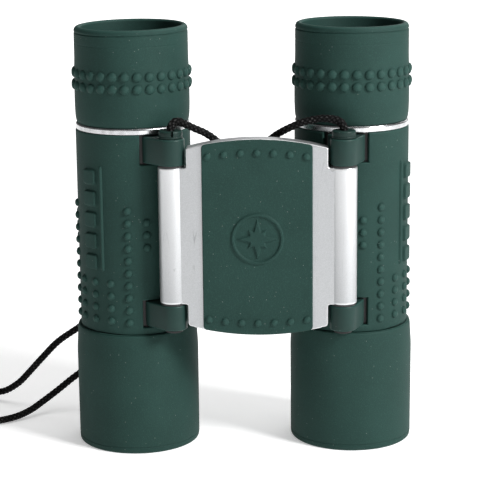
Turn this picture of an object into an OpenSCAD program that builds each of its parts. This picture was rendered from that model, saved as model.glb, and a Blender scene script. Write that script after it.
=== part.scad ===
// Pocket binoculars: two straight roof-prism tubes on a double-hinged bridge plate.
// Each tube stands on the rim of its objective hood and swings about its own hinge pin.
// Each eyepiece is focused on its own, by turning its nubbed rubber sleeve.

/* [Stance] */
// Angle of the left tube, opened out from straight behind its hinge
left_open = 35; // [-16:1:42]
// Angle of the right tube, opened out from straight behind its hinge
right_open = 6.6; // [-16:0.2:42]

/* [Tubes] */
// Total height, from the hood's rim to the eyecup's lip
total_h = 112; // [111:1:114]
// Radius over the rubber armour
armour_r = 15; // [14.8:0.1:15.2]
// Largest radius of the objective hood
hood_r = 16.25; // [16:0.05:16.4]
// Height of the objective hood's upper edge
hood_top = 32.3; // [31.5:0.1:32.4]
// Height of the armour's upper edge
armour_top = 84.9; // [84.7:0.1:85.1]

/* [Bridge] */
// Distance of each hinge pin from the middle of the bridge
hinge_x = 21.9; // [21.8:0.1:22.5]
// Distance from a hinge pin to its tube's axis
reach = 19.6; // [19.5:0.1:20]
// Thickness of the bridge plate
plate_t = 4.2; // [4:0.1:4.4]
// Half width of the rubber panel
panel_half_w = 14.05; // [12:0.05:14.5]
// Radius of the hinge pins
pin_r = 1.25; // [1:0.05:1.4]

/* [Optics] */
// Radius of the objective lenses
objective_r = 12.5; // [12:0.1:12.5]
// Free aperture of the prisms
prism_a = 10.4; // [9:0.1:10.4]
// Radius of the eye lens
eye_lens_r = 8.4; // [7:0.1:8.6]

/* [Grip] */
// Nubs round each ring of the focus sleeve
sleeve_nubs = 29; // [20:1:32]
// Height step between armour nubs
nub_pitch = 3.3; // [3:0.1:3.6]
// Angle between the columns of armour nubs
column_pitch = 19; // [17:1:20]

/* [Cord] */
// Diameter of the neck cord
cord_d = 2; // [1.8:0.1:2]

/* [Hidden] */
$fn = 64;

SIDE_PARTS = [
    "barrel", "armour", "objective_hood", "objective_cell", "crown_lens", "flint_lens",
    "objective_retainer", "prism_cage", "half_penta_prism", "roof_prism", "prism_clip",
    "collar", "guide_pin", "ocular_cell", "field_lens", "lens_spacers", "eye_lens",
    "eye_retainer", "focus_ring", "focus_sleeve", "ring_nut"
];
CENTRE_PARTS = [
    "bridge_plate", "bridge_panel", "bridge_back_cover", "cover_screws", "left_pin", "right_pin",
    "hinge_washers", "pin_clips", "cord_left_run", "cord_right_run", "cord_coil"
];

// Colours
RUBBER = [0.17, 0.28, 0.26];
SILVER = [0.84, 0.85, 0.86];
CHROME = [0.92, 0.92, 0.93];
BLACK = [0.05, 0.05, 0.05];
STEEL = [0.7, 0.7, 0.72];
GLASS = [0.75, 0.85, 0.9, 0.5];

// Placing: the origin is at the middle of the box round both tubes and the panel's nubs
left_x = -hinge_x - reach * sin(left_open);
left_y = reach * cos(left_open);
right_x = hinge_x + reach * sin(right_open);
right_y = reach * cos(right_open);
plate_front = -2.55;
plate_back = plate_front + plate_t;
panel_proud = 0.6;
panel_nub_h = 0.65;
front_y = plate_front - panel_proud - panel_nub_h;
mid_x = (left_x + right_x) / 2;
mid_y = (front_y + max(left_y, right_y) + hood_r) / 2;

// Heights along a tube, from the floor up
tube_bottom = 4;
cell_bottom = 8.5;
cell_top = 19.5;
cage_bottom = 49;
cage_h = 16;
collar_bottom = 79;
guide_pin_z = 83.9;
ring_top = armour_top + 1.7;
sleeve_bottom = ring_top + 0.1;

// Radii across a tube
hood_bore_r = 13.3;
barrel_low_r = 14.9;
barrel_low_bore_r = 13.6;
barrel_r = 13.8;
barrel_bore_r = 12.7;
chrome_r = 14.9;
neck_r = 12.2;
neck_bore_r = 11.05;
ring_r = 13.4;

// Knuckles of the tubes and barrels of the bridge
knuckle_r = 3.5;
hinge_barrel_r = 3.45;
low_knuckle = [34.6, 41.2];
high_knuckle = [77.7, 84.5];
hinge_barrel = [41.6, 77.2];
arm_half_w = 3;
arm_root_half_w = 4.65;
outer_root_half_w = 5.3;
cutout_half_angle = 23;
run = 0.05;

// Neck cord: a route for each strand, in the bridge's own axes, whose origin is midway
// between the hinge pins. Each strand leaves its lug, falls between the tubes behind the
// bridge, goes round behind the left tube and reaches the coil on the floor.
lug_hole_z = 85.3;
coil_centre = [-92, 34];
coil_inner_r = 7;
coil_outer_r = 15;
left_route = [
    [-21.9, 0, 85.3], [-21.9, 0, 86.8], [-21.3, 0.4, 88.1], [-20.1, 0.8, 88.6],
    [-18.3, 1.2, 87.9], [-15.8, 2, 86.6], [-13.6, 2.7, 85.5], [-11.5, 3.1, 84.1],
    [-9.4, 3.9, 82.2], [-6.8, 5.4, 79.6], [-4, 8, 76.2], [-1.8, 11.4, 72.4],
    [-0.4, 15, 68.6], [0, 19, 64.4], [0, 24, 59], [-0.8, 29, 53.4], [-3.4, 33.6, 47.8],
    [-8, 36.8, 42.4], [-14, 38.4, 37.2], [-21, 39.2, 32], [-28.5, 39.6, 26.8],
    [-36, 39.7, 21.6], [-43.5, 39.6, 16.4], [-49.6, 39.2, 12.2], [-54.2, 38.2, 9.1],
    [-58.5, 36, 6], [-62.4, 32.9, 3.6], [-65.4, 29.8, 2.1], [-69, 26.6, 1.2],
    [-74, 23.2, 1], [-80, 20.9, 1], [-86, 20, 1], [-92, 20, 1]
];
right_route = [
    [21.9, 0, 85.3], [21.9, 0, 86.8], [21.3, 0.3, 88.1], [20.2, 0.5, 88.8],
    [18.4, 0.8, 89.2], [15.9, 1.4, 89.2], [12.1, 2.2, 88.3], [8.8, 3, 86.9],
    [6.2, 4.4, 85.4], [4.1, 6.2, 83.8], [2.2, 8.8, 81.7], [0.8, 12, 79.1], [0, 16, 75.6],
    [0, 20, 71.8], [0, 24, 67.8], [-0.8, 29, 62.8], [-3.2, 34, 57.8], [-7.8, 37.8, 53.2],
    [-13.8, 39.8, 48.8], [-20.8, 40.8, 44.4], [-28.4, 41.2, 39.8], [-36.2, 41.1, 34.8],
    [-44.4, 40.3, 29.2], [-52.3, 39.2, 23.7], [-58.5, 39.5, 19.3], [-63.4, 40, 14.2],
    [-67.2, 41, 9.9], [-70.9, 42.2, 6], [-75.6, 43.9, 3], [-80.6, 45.8, 2.4],
    [-86, 47.4, 2.7], [-92, 48, 3]
];

// ---- Placing ----

module at_bridge() {
    translate([-mid_x, -mid_y, 0]) children();
}

// A tube's own frame has its axis on Z and its hinge straight ahead, towards -Y
module on_left() {
    at_bridge() translate([-hinge_x, 0, 0]) rotate([0, 0, left_open])
        translate([0, reach, 0]) children();
}

module on_right() {
    at_bridge() mirror([1, 0, 0]) translate([-hinge_x, 0, 0]) rotate([0, 0, right_open])
        translate([0, reach, 0]) children();
}

// ---- Shapes used more than once ----

module tube(outer_r, inner_r, low, high) {
    difference() {
        translate([0, 0, low]) cylinder(r = outer_r, h = high - low);
        translate([0, 0, low - 1]) cylinder(r = inner_r, h = high - low + 2);
    }
}

module disc(r, low, high) {
    translate([0, 0, low]) cylinder(r = r, h = high - low);
}

// A nub on a cylinder: angle is measured from the hinge towards the outer side
module nub(surface_r, angle, z, nub_r, height) {
    rotate([0, 0, -angle]) translate([0, -(surface_r + height - nub_r), z])
        sphere(r = nub_r, $fn = 24);
}

// A slice of a cylinder's surroundings, between two angles from the hinge
module sector(from_angle, to_angle, low, high, far = 20) {
    translate([0, 0, low]) linear_extrude(high - low)
        polygon([
            [0, 0],
            [-far * sin(from_angle), -far * cos(from_angle)],
            [-far * sin((from_angle + to_angle) / 2), -far * cos((from_angle + to_angle) / 2)],
            [-far * sin(to_angle), -far * cos(to_angle)]
        ]);
}

// A round lens with its edge from low to high; each bulge is its face's height, hollow below zero
module lens(r, low, high, low_bulge, high_bulge, steps = 8) {
    function crown(i) = 1 - pow(i / steps, 2);
    rotate_extrude() polygon(concat(
        [for (i = [0:steps]) [r * i / steps, low - low_bulge * crown(i)]],
        [for (i = [steps:-1:0]) [r * i / steps, high + high_bulge * crown(i)]]
    ));
}

// ---- Tube: casing ----

// One hinge knuckle with the arm that carries it: its outer side runs straight out to the root
module knuckle(span) {
    arm_root_y = -armour_r;
    root_away = norm([outer_root_half_w, reach + arm_root_y]);
    tangent_at = atan2(reach + arm_root_y, -outer_root_half_w) + acos(knuckle_r / root_away);
    translate([0, 0, span[0]]) linear_extrude(span[1] - span[0]) {
        translate([0, -reach]) circle(r = knuckle_r);
        polygon([
            [knuckle_r * cos(tangent_at), knuckle_r * sin(tangent_at) - reach],
            [-outer_root_half_w, arm_root_y], [-outer_root_half_w, -barrel_bore_r - 0.4],
            [arm_root_half_w, -barrel_bore_r - 0.4],
            [arm_root_half_w, arm_root_y], [arm_half_w, arm_root_y - 1], [arm_half_w, -reach]
        ]);
    }
}

module barrel() {
    color(RUBBER) difference() {
        union() {
            disc(barrel_low_r, tube_bottom, hood_top - 1);
            disc(barrel_r, hood_top - 2, armour_top);
            knuckle(low_knuckle);
            knuckle(high_knuckle);
        }
        disc(barrel_low_bore_r, tube_bottom - 1, hood_top - 2.6);
        disc(11.5, tube_bottom, armour_top);
        disc(barrel_bore_r, cage_bottom, armour_top + 1);
        translate([0, 0, hood_top - 2.7]) cylinder(r = barrel_bore_r, h = cage_bottom - hood_top + 1.5);
        translate([0, -reach, 0]) disc(pin_r + run, low_knuckle[0] - 1, high_knuckle[1] + 1);
    }
}

// Nub columns, as the column's place from the first, its top nub's height and its count
nub_columns = [[0, 62.2, 3], [1, 65.3, 10], [2, 45.8, 4], [3, 45.8, 4], [4, 45.8, 4], [5, 65.3, 10],
               [6, 62.2, 3]];
first_column = 17.5;

module armour_nubs() {
    for (column = nub_columns, i = [0:column[2] - 1])
        nub(armour_r, first_column + column[0] * column_pitch, column[1] - i * nub_pitch, 1.1, 0.8);
}

// Raised bar and five grip marks on the outer side
module grip_marks() {
    rotate([0, 0, -64]) translate([-0.5, -armour_r - 0.5, 48.8]) cube([1, 1, 27.9]);
    for (i = [0:4])
        intersection() {
            tube(armour_r + 0.75, armour_r - 0.5, 49 + 5.6 * i, 53.4 + 5.6 * i);
            sector(70, 86, 49, 77);
        }
}

module armour() {
    color(RUBBER) {
        difference() {
            union() {
                disc(armour_r, hood_top + 0.1, armour_top);
                armour_nubs();
                grip_marks();
            }
            disc(barrel_r + 0.02, hood_top - 1, armour_top + 1);
            sector(-cutout_half_angle, cutout_half_angle, low_knuckle[0] - 0.4, low_knuckle[1] + 0.3);
            sector(-cutout_half_angle, cutout_half_angle, high_knuckle[0] - 0.5, armour_top + 1);
        }
    }
}

module objective_hood() {
    inner_r = barrel_low_r + 0.02;
    color(RUBBER) rotate_extrude($fn = 96) polygon([
        [hood_bore_r, 0.3], [hood_bore_r + 0.4, 0], [hood_r - 0.75, 0], [hood_r - 0.25, 0.3],
        [hood_r - 0.05, 1], [hood_r, 1.3], [hood_r - 0.05, 1.6], [hood_r - 0.05, 3], [hood_r, 20],
        [hood_r, 25.6], [hood_r - 0.1, 26], [hood_r - 0.4, hood_top - 0.4],
        [hood_r - 0.6, hood_top], [inner_r, hood_top], [inner_r, tube_bottom],
        [hood_bore_r, tube_bottom]
    ]);
}

// ---- Tube: objective and prisms ----

module objective_cell() {
    color(BLACK) difference() {
        disc(barrel_low_bore_r - 0.03, cell_bottom, cell_top);
        disc(objective_r + 0.1, cell_bottom - 1, cell_top - 2.6);
        disc(objective_r - 0.7, cell_bottom, cell_top + 1);
    }
}

module crown_lens() {
    color(GLASS) lens(objective_r, 12.2, 14.4, 1.5, 0.9);
}

module flint_lens() {
    color(GLASS) lens(objective_r, 14.45, 16.85, -0.9, -0.3);
}

module objective_retainer() {
    color(BLACK) tube(objective_r + 0.06, objective_r - 0.5, cell_bottom + 0.3, 12.05);
}

cage_wall = 1.2;
pocket_gap = 0.2;
prism_h = prism_a * (1 + sqrt(2)) / 2;

module prism_cage() {
    color(BLACK) difference() {
        disc(barrel_bore_r - 0.03, cage_bottom + 0.02, cage_bottom + cage_h);
        translate([-prism_a - pocket_gap, -prism_a / 2 - pocket_gap, cage_bottom + cage_wall])
            cube([2 * (prism_a + pocket_gap), prism_a + 2 * pocket_gap, cage_h]);
        disc(prism_a / 2 - 0.1, cage_bottom - 1, cage_bottom + cage_h);
    }
}

// Both prisms are drawn as a side view, beam along +Y of the sketch, then stood upright
module upright_prism() {
    translate([0, prism_a / 2, cage_bottom + cage_wall + 0.05]) rotate([90, 0, 0])
        linear_extrude(prism_a) children();
}

module half_penta_prism() {
    half = prism_a / 2;
    tip_x = prism_a * 0.95;
    color(GLASS) upright_prism()
        polygon([
            [-half, 0], [half, 0], [half + (tip_x - half), (tip_x - half) * tan(67.5)],
            [tip_x, min(tip_x + half, prism_h)], [prism_h - half, prism_h]
        ]);
}

// The roof is the edge that runs up the prism's left side, with its two faces at a right angle
module roof_prism() {
    half = prism_a / 2;
    gap = 0.25;
    lean = 22.5;
    color(GLASS) intersection() {
        upright_prism()
            polygon([
                [-half - gap, gap], [prism_h - half - gap, prism_h + gap],
                [-prism_a - gap + 0.1, prism_h + gap]
            ]);
        translate([-half - gap, 0, cage_bottom + cage_wall + 0.05]) rotate([0, -lean, 0])
            linear_extrude(2 * prism_h, center = true)
                polygon([[0.1, 0], [3 * prism_a, 3 * prism_a], [3 * prism_a, -3 * prism_a]]);
    }
}

module prism_clip() {
    low = cage_bottom + cage_h + 0.02;
    color(STEEL) difference() {
        intersection() {
            disc(barrel_bore_r - 0.1, low, low + 0.6);
            translate([-20, -9, low]) cube([40, 18, 1]);
        }
        disc(prism_a / 2 - 0.1, low - 1, low + 2);
    }
}

// ---- Tube: eyepiece collar ----

// Chrome ring with a plug below it and a threaded neck above it, with plain 1 mm ridges
module collar() {
    neck_top = 97;
    ridge = 0.35;
    color(CHROME) difference() {
        union() {
            disc(barrel_bore_r - 0.03, collar_bottom, armour_top + 0.5);
            disc(chrome_r, armour_top + 0.02, ring_top);
            disc(neck_r - ridge, ring_top - 0.5, neck_top);
            rotate_extrude() polygon(concat(
                [[neck_bore_r + 0.2, ring_top + 0.8]],
                [for (i = [0:8], k = [0, 1]) [neck_r - ridge * (1 - k), ring_top + 1 + i + k * 0.5]],
                [[neck_r - ridge, ring_top + 10], [neck_bore_r + 0.2, ring_top + 10]]
            ));
        }
        disc(neck_bore_r, collar_bottom - 1, neck_top + 1);
        rotate([0, 0, 180]) translate([0, -15, guide_pin_z]) rotate([-90, 0, 0]) cylinder(r = 0.8, h = 6);
    }
}

// Keeps the ocular cell from turning: it sits in the collar and reaches into the cell's slot
module guide_pin() {
    color(STEEL) rotate([0, 0, 180]) translate([0, -barrel_bore_r + 0.05, guide_pin_z]) rotate([-90, 0, 0])
        cylinder(r = 0.78, h = 2.3);
}

// ---- Ocular: slides up and down in the collar ----

ocular_r = neck_bore_r - run;
ocular_bore_r = eye_lens_r + 0.05;
flange_bottom = 98.45;
flange_top = 101;

module ocular_cell() {
    color(BLACK) difference() {
        union() {
            disc(ocular_r, 80, flange_top);
            disc(12.9, flange_bottom, flange_top);
        }
        disc(ocular_bore_r, 84.5, flange_top + 1);
        disc(6.4, 79, 85);
        rotate([0, 0, 180]) translate([-0.9, -12, 79]) cube([1.8, 2.4, 6]);
    }
}

module field_lens() {
    color(GLASS) lens(eye_lens_r, 87, 88.6, 0.3, 1.6);
}

module lens_spacers() {
    color(BLACK) {
        tube(eye_lens_r, 5.6, 84.6, 85.4);
        tube(eye_lens_r, 7.5, 85.4, 86.9);
        tube(eye_lens_r, 8, 88.8, 94.45);
    }
}

module eye_lens() {
    color(GLASS) lens(eye_lens_r, 94.6, 97, 1.1, 0.7);
}

module eye_retainer() {
    color(BLACK) difference() {
        disc(eye_lens_r, 97.2, flange_top - 0.3);
        disc(7.4, 97, flange_top);
        translate([0, 0, 98.6]) cylinder(r1 = 7.4, r2 = 8.1, h = 2.2);
    }
}

// ---- Focus ring: turns on the neck and carries the rubber sleeve ----

focus_ring_top = 109;

module focus_ring() {
    color(BLACK) difference() {
        disc(ring_r, sleeve_bottom, focus_ring_top);
        disc(neck_r + run, sleeve_bottom - 1, focus_ring_top + 1);
        disc(12.95, flange_bottom - run, focus_ring_top + 1);
    }
}

module ring_nut() {
    color(BLACK) difference() {
        disc(12.92, flange_top + run, 103);
        disc(10.2, flange_top, 104);
        translate([0, 0, 102.2]) cylinder(r1 = 10.2, r2 = 11.2, h = 1);
    }
}

sleeve_profile = [
    [14.5, sleeve_bottom], [14.66, sleeve_bottom + 0.25], [14.9, 88.4], [15, 91], [15, 95], [14.9, 101],
    [14.8, 102.4], [14.8, total_h - 1.6], [14.7, total_h - 1.3], [14.55, total_h - 0.5],
    [14.1, total_h], [13.5, total_h], [13.1, total_h - 0.4], [13, focus_ring_top + 0.1],
    [13, sleeve_bottom]
];

module focus_sleeve() {
    color(RUBBER) difference() {
        union() {
            rotate_extrude($fn = 96) polygon(sleeve_profile);
            for (level = [96.6, 99.7], i = [0:sleeve_nubs - 1])
                nub(14.9, 6 + i * 360 / sleeve_nubs, level, 1.4, 0.8);
        }
        translate([0, 0, sleeve_bottom - 1])
            cylinder(r = ring_r + 0.02, h = focus_ring_top + 1.1 - sleeve_bottom, $fn = 96);
    }
}

// ---- Bridge ----

// Front outline of the plate: arched edges, and arms out to the hinge barrels
plate_half_w = 18;
plate_edge_top = 82.3;
plate_edge_low = 35.9;
arch = 2.35;

// Points of an edge that bows by arch over the half width, from x = from to x = to
function arched(from, to, edge_z, bow, count = 8) = [
    for (i = [0:count])
        let (x = from + (to - from) * i / count) [x, edge_z + bow * (1 - pow(x / plate_half_w, 2))]
];

// A slab seen from the front, between two depths
module slab(front, back) {
    translate([0, back, 0]) rotate([90, 0, 0]) linear_extrude(back - front) children();
}

module bridge_plate() {
    color(SILVER) difference() {
        union() {
            slab(plate_front, plate_back) polygon(concat(
                arched(-plate_half_w + 0.3, plate_half_w - 0.3, plate_edge_top, arch),
                [[plate_half_w, plate_edge_top - 0.3], [plate_half_w, 77.4], [plate_half_w + 0.2, 77.2]],
                [[hinge_x, 77.2], [hinge_x, 41.6], [plate_half_w + 0.2, 41.6]],
                [[plate_half_w, 41.4], [plate_half_w, plate_edge_low + 0.3]],
                arched(plate_half_w - 0.3, -plate_half_w + 0.3, plate_edge_low, -arch),
                [[-plate_half_w, plate_edge_low + 0.3], [-plate_half_w, 41.4]],
                [[-plate_half_w - 0.2, 41.6], [-hinge_x, 41.6], [-hinge_x, 77.2]],
                [[-plate_half_w - 0.2, 77.2], [-plate_half_w, 77.4], [-plate_half_w, plate_edge_top - 0.3]]
            ));
            for (side = [-1, 1])
                translate([side * hinge_x, 0, 0]) disc(hinge_barrel_r, hinge_barrel[0], hinge_barrel[1]);
        }
        for (side = [-1, 1]) {
            translate([side * hinge_x, 0, 0])
                disc(pin_r + 0.01, hinge_barrel[0] - 1, hinge_barrel[1] + 1);
            // The back edge beside each knuckle is relieved, so the arm swings past it
            for (span = [[30, 41.5], [77.3, 90]])
                translate([side * plate_half_w, plate_back, span[0]]) rotate([0, 0, 45])
                    translate([-0.9, -0.9, 0]) cube([1.8, 1.8, span[1] - span[0]]);
        }
        // Front recess for the rubber panel, back pocket for the cover
        translate([-panel_half_w - 0.05, plate_front - 1, 30])
            cube([2 * panel_half_w + 0.1, 2, 60]);
        translate([-13.05, plate_back - 0.8, 39.95]) cube([26.1, 1, 38.1]);
        screw_places() rotate([-90, 0, 0]) cylinder(r = 0.6, h = 5, center = true);
    }
}

module screw_places() {
    for (x = [-10.5, 10.5], z = [43, 75]) translate([x, plate_back - 0.8, z]) children();
}

module bridge_panel() {
    front = plate_front - panel_proud;
    half = panel_half_w;
    color(RUBBER) {
        slab(front, plate_front + 1) polygon(concat(
            [[-half, plate_edge_top - 0.1], [-half + 0.5, plate_edge_top + 0.7]],
            arched(-half + 1, half - 1, plate_edge_top - 0.1, arch),
            [[half - 0.5, plate_edge_top + 0.7], [half, plate_edge_top - 0.1]],
            [[half, plate_edge_low + 0.1], [half - 0.5, plate_edge_low - 0.7]],
            arched(half - 1, -half + 1, plate_edge_low + 0.1, -arch),
            [[-half + 0.5, plate_edge_low - 0.7], [-half, plate_edge_low + 0.1]]
        ));
        for (i = [-3:3], row = [[81.15, -0.105], [36.8, 0.11]])
            translate([4.18 * i, front + 1 - panel_nub_h, row[0] + row[1] * i * i])
                sphere(r = 1, $fn = 24);
        emblem(front);
    }
}

// A ring round an eight-pointed compass star
module emblem(front) {
    star = [for (i = [0:15]) let (r = i % 4 == 0 ? 5 : i % 2 == 0 ? 3.2 : 1.4)
        [r * sin(22.5 * i), r * cos(22.5 * i)]];
    translate([0, front + 0.1, 59]) rotate([90, 0, 0]) {
        linear_extrude(0.45) difference() {
            circle(r = 6.6);
            circle(r = 5.9);
        }
        linear_extrude(0.45) polygon(star);
    }
}

module bridge_back_cover() {
    color(RUBBER) difference() {
        translate([-13, plate_back - 0.78, 40]) cube([26, 0.75, 38]);
        screw_places() rotate([-90, 0, 0]) cylinder(r = 1.35, h = 5, center = true);
    }
}

module cover_screws() {
    color(STEEL) screw_places() difference() {
        rotate([-90, 0, 0]) {
            translate([0, 0, -1.6]) cylinder(r = 0.58, h = 1.8);
            translate([0, 0, 0.03]) cylinder(r = 1.3, h = 0.65);
        }
        translate([-2, 0.4, -0.18]) cube([4, 1, 0.36]);
    }
}

// ---- Hinges ----

// A pin with its lug cap on top: the cord's end is knotted under the cap's hole
module hinge_pin(slot_turn) {
    cap_low = high_knuckle[1] + run;
    color(RUBBER) difference() {
        union() {
            disc(pin_r, low_knuckle[0] - 1.2, cap_low + 0.2);
            disc(3.05, cap_low, cap_low + 1.95);
        }
        disc(cord_d / 2 + 0.1, lug_hole_z, cap_low + 3);
        rotate([0, 0, slot_turn]) translate([-0.31, -4, cap_low + 0.6]) cube([0.62, 2.3, 2]);
        tube(pin_r + 1, pin_r - 0.3, low_knuckle[0] - 0.8, low_knuckle[0] - 0.3);
    }
}

module left_pin() {
    at_bridge() translate([-hinge_x, 0, 0]) hinge_pin(12);
}

module right_pin() {
    at_bridge() translate([hinge_x, 0, 0]) hinge_pin(-118);
}

module hinge_washers() {
    color(BLACK) for (x = [-hinge_x, hinge_x], span = [[41.25, 41.59], [77.21, 77.65]])
        translate([x, 0, 0]) tube(3.3, pin_r + 0.02, span[0], span[1]);
}

module pin_clips() {
    color(BLACK) for (x = [-hinge_x, hinge_x])
        translate([x, 0, low_knuckle[0]]) difference() {
            tube(2.3, pin_r - 0.28, -0.75, -0.35);
            translate([-0.7, 0, -2]) cube([1.4, 4, 3]);
        }
}

// ---- Neck cord ----

function unit(v) = v / norm(v);

// Direction at each point of a route, from its neighbours
function heading(route, i) =
    unit(route[min(i + 1, len(route) - 1)] - route[max(i - 1, 0)]);

// A tube with eight sides, swept along a route; no route runs along the level direction
module swept_cord(route) {
    sides = 8;
    last = len(route) - 1;
    level = [0, 1, 0.5];
    rings = [
        for (i = [0:last])
            let (d = heading(route, i), across = unit(cross(d, level)), over = cross(across, d))
            for (k = [0:sides - 1])
                route[i] + cord_d / 2 * (cos(45 * k) * across + sin(45 * k) * over)
    ];
    walls = [
        for (i = [0:last - 1], k = [0:sides - 1])
            let (a = i * sides + k, b = i * sides + (k + 1) % sides)
            for (face = [[a, b, b + sides], [a, b + sides, a + sides]]) face
    ];
    start_cap = [for (k = [sides - 1:-1:0]) k];
    end_cap = [for (k = [0:sides - 1]) last * sides + k];
    polyhedron(rings, concat(walls, [start_cap, end_cap]));
}

module cord_left_run() {
    color(BLACK) swept_cord(left_route);
}

module cord_right_run() {
    color(BLACK) swept_cord(right_route);
}

// The coiled length: two layers of turns, with round edges
module cord_coil() {
    r = cord_d / 2;
    color(BLACK) translate([coil_centre[0], coil_centre[1], 0]) rotate_extrude() {
        translate([coil_inner_r + r, 0]) square([coil_outer_r - coil_inner_r - cord_d, 2 * cord_d]);
        translate([coil_inner_r, r]) square([coil_outer_r - coil_inner_r, cord_d]);
        for (x = [coil_inner_r + r, coil_outer_r - r], z = [r, 3 * r]) translate([x, z]) circle(r = r);
    }
}

// ---- The parts of one tube, by name ----

module side_part(part) {
    if (part == "barrel") barrel();
    if (part == "armour") armour();
    if (part == "objective_hood") objective_hood();
    if (part == "objective_cell") objective_cell();
    if (part == "crown_lens") crown_lens();
    if (part == "flint_lens") flint_lens();
    if (part == "objective_retainer") objective_retainer();
    if (part == "prism_cage") prism_cage();
    if (part == "half_penta_prism") half_penta_prism();
    if (part == "roof_prism") roof_prism();
    if (part == "prism_clip") prism_clip();
    if (part == "collar") collar();
    if (part == "guide_pin") guide_pin();
    if (part == "ocular_cell") ocular_cell();
    if (part == "field_lens") field_lens();
    if (part == "lens_spacers") lens_spacers();
    if (part == "eye_lens") eye_lens();
    if (part == "eye_retainer") eye_retainer();
    if (part == "focus_ring") focus_ring();
    if (part == "focus_sleeve") focus_sleeve();
    if (part == "ring_nut") ring_nut();
}

for (part = SIDE_PARTS) on_left() side_part(part);
for (part = SIDE_PARTS) on_right() side_part(part);
at_bridge() bridge_plate();
at_bridge() bridge_panel();
at_bridge() bridge_back_cover();
at_bridge() cover_screws();
left_pin();
right_pin();
at_bridge() hinge_washers();
at_bridge() pin_clips();
at_bridge() cord_left_run();
at_bridge() cord_right_run();
at_bridge() cord_coil();
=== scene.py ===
"""Folding pocket binoculars with a neck cord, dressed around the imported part.

Every shape is worked out in millimetres in the axes of its own sub-assembly, then placed from
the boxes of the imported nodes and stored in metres. A tube's axes have the tube on Z, its hinge
straight ahead towards -Y and its outer side towards -X. The bridge's axes have their origin
midway between the two hinge pins, on the floor, with the back towards +Y.
"""
import logging
import math
from collections.abc import Callable, Sequence
from dataclasses import dataclass
from enum import Enum

import bmesh
import bpy
import numpy as np
from mathutils import Matrix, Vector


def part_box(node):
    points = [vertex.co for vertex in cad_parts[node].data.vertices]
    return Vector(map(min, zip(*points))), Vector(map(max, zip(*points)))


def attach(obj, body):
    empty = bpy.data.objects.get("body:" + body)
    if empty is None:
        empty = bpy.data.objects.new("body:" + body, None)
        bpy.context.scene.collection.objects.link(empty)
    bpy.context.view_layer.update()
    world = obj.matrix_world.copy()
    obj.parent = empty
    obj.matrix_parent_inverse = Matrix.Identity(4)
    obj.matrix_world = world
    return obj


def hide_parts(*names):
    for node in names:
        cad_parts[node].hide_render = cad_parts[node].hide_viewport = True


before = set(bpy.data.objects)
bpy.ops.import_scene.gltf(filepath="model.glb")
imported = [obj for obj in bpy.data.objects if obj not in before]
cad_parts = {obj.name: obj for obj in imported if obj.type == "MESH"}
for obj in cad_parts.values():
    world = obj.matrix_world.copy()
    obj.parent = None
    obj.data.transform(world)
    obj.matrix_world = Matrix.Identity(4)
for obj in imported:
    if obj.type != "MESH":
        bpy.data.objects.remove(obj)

Array = np.ndarray
Pair = tuple[float, float]
Triple = tuple[float, float, float]
Change = Callable[[Array, Array, Array], tuple[Array, Array, Array]]
RubAndSheen = Callable[[Array, Array, Array], Array]

LOG = logging.getLogger("binoculars")
MM = 0.001
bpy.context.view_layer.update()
LINT_TONE = (0.30, 0.33, 0.31, 1.0)
FLOOR_TONE = (0.93, 0.93, 0.93, 1.0)
WHITE = (1.0, 1.0, 1.0, 1.0)


class Side(Enum):
    """The two tubes, by the side on which they lie in front view."""

    LEFT = "left"
    RIGHT = "right"

    @property
    def tube(self) -> str:
        """Body of the tube's casing."""
        return f"{self.value}_tube"

    @property
    def ocular(self) -> str:
        """Body of the eyepiece's lenses."""
        return f"{self.value}_ocular"

    @property
    def focus(self) -> str:
        """Body of the focus sleeve."""
        return f"{self.value}_focus"

    def node(self, part: str) -> str:
        """Name of this side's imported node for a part."""
        return f"{self.value}_{part}"


# ---- Shader maths ----


class Value:
    """One output socket of a shader, which can be used in arithmetic."""

    def __init__(self, shader: "Shader", socket: bpy.types.NodeSocket) -> None:
        """Keep the shader that owns the socket, and the socket."""
        self.shader = shader
        self.socket = socket

    def __add__(self, other: "Value | float") -> "Value":
        """Sum."""
        return self.shader.math("ADD", self, other)

    __radd__ = __add__

    def __sub__(self, other: "Value | float") -> "Value":
        """Difference."""
        return self.shader.math("SUBTRACT", self, other)

    def __rsub__(self, other: "Value | float") -> "Value":
        """Difference, with this value taken away."""
        return self.shader.math("SUBTRACT", other, self)

    def __mul__(self, other: "Value | float") -> "Value":
        """Product."""
        return self.shader.math("MULTIPLY", self, other)

    __rmul__ = __mul__

    def __gt__(self, other: "Value | float") -> "Value":
        """One where this value is the greater, else nought."""
        return self.shader.math("GREATER_THAN", self, other)
    def __mod__(self, other: "Value | float") -> "Value":
        """What is left after whole steps of the other value."""
        return self.shader.math("FLOORED_MODULO", self, other)

    def __abs__(self) -> "Value":
        """Size without its sign."""
        return self.shader.math("ABSOLUTE", self)

    def floor(self) -> "Value":
        """Next whole number below."""
        return self.shader.math("FLOOR", self)

    def eased(self, low: float, high: float) -> "Value":
        """Smooth rise from nought at low to one at high.

        Args:
            low: Value where the rise starts.
            high: Value where it ends; it may be the smaller one.

        Returns:
            The eased value, from nought to one.
        """
        return self.shader.node(
            "ShaderNodeMapRange", {"interpolation_type": "SMOOTHSTEP"},
            {"Value": self, "From Min": low, "From Max": high},
        )


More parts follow.
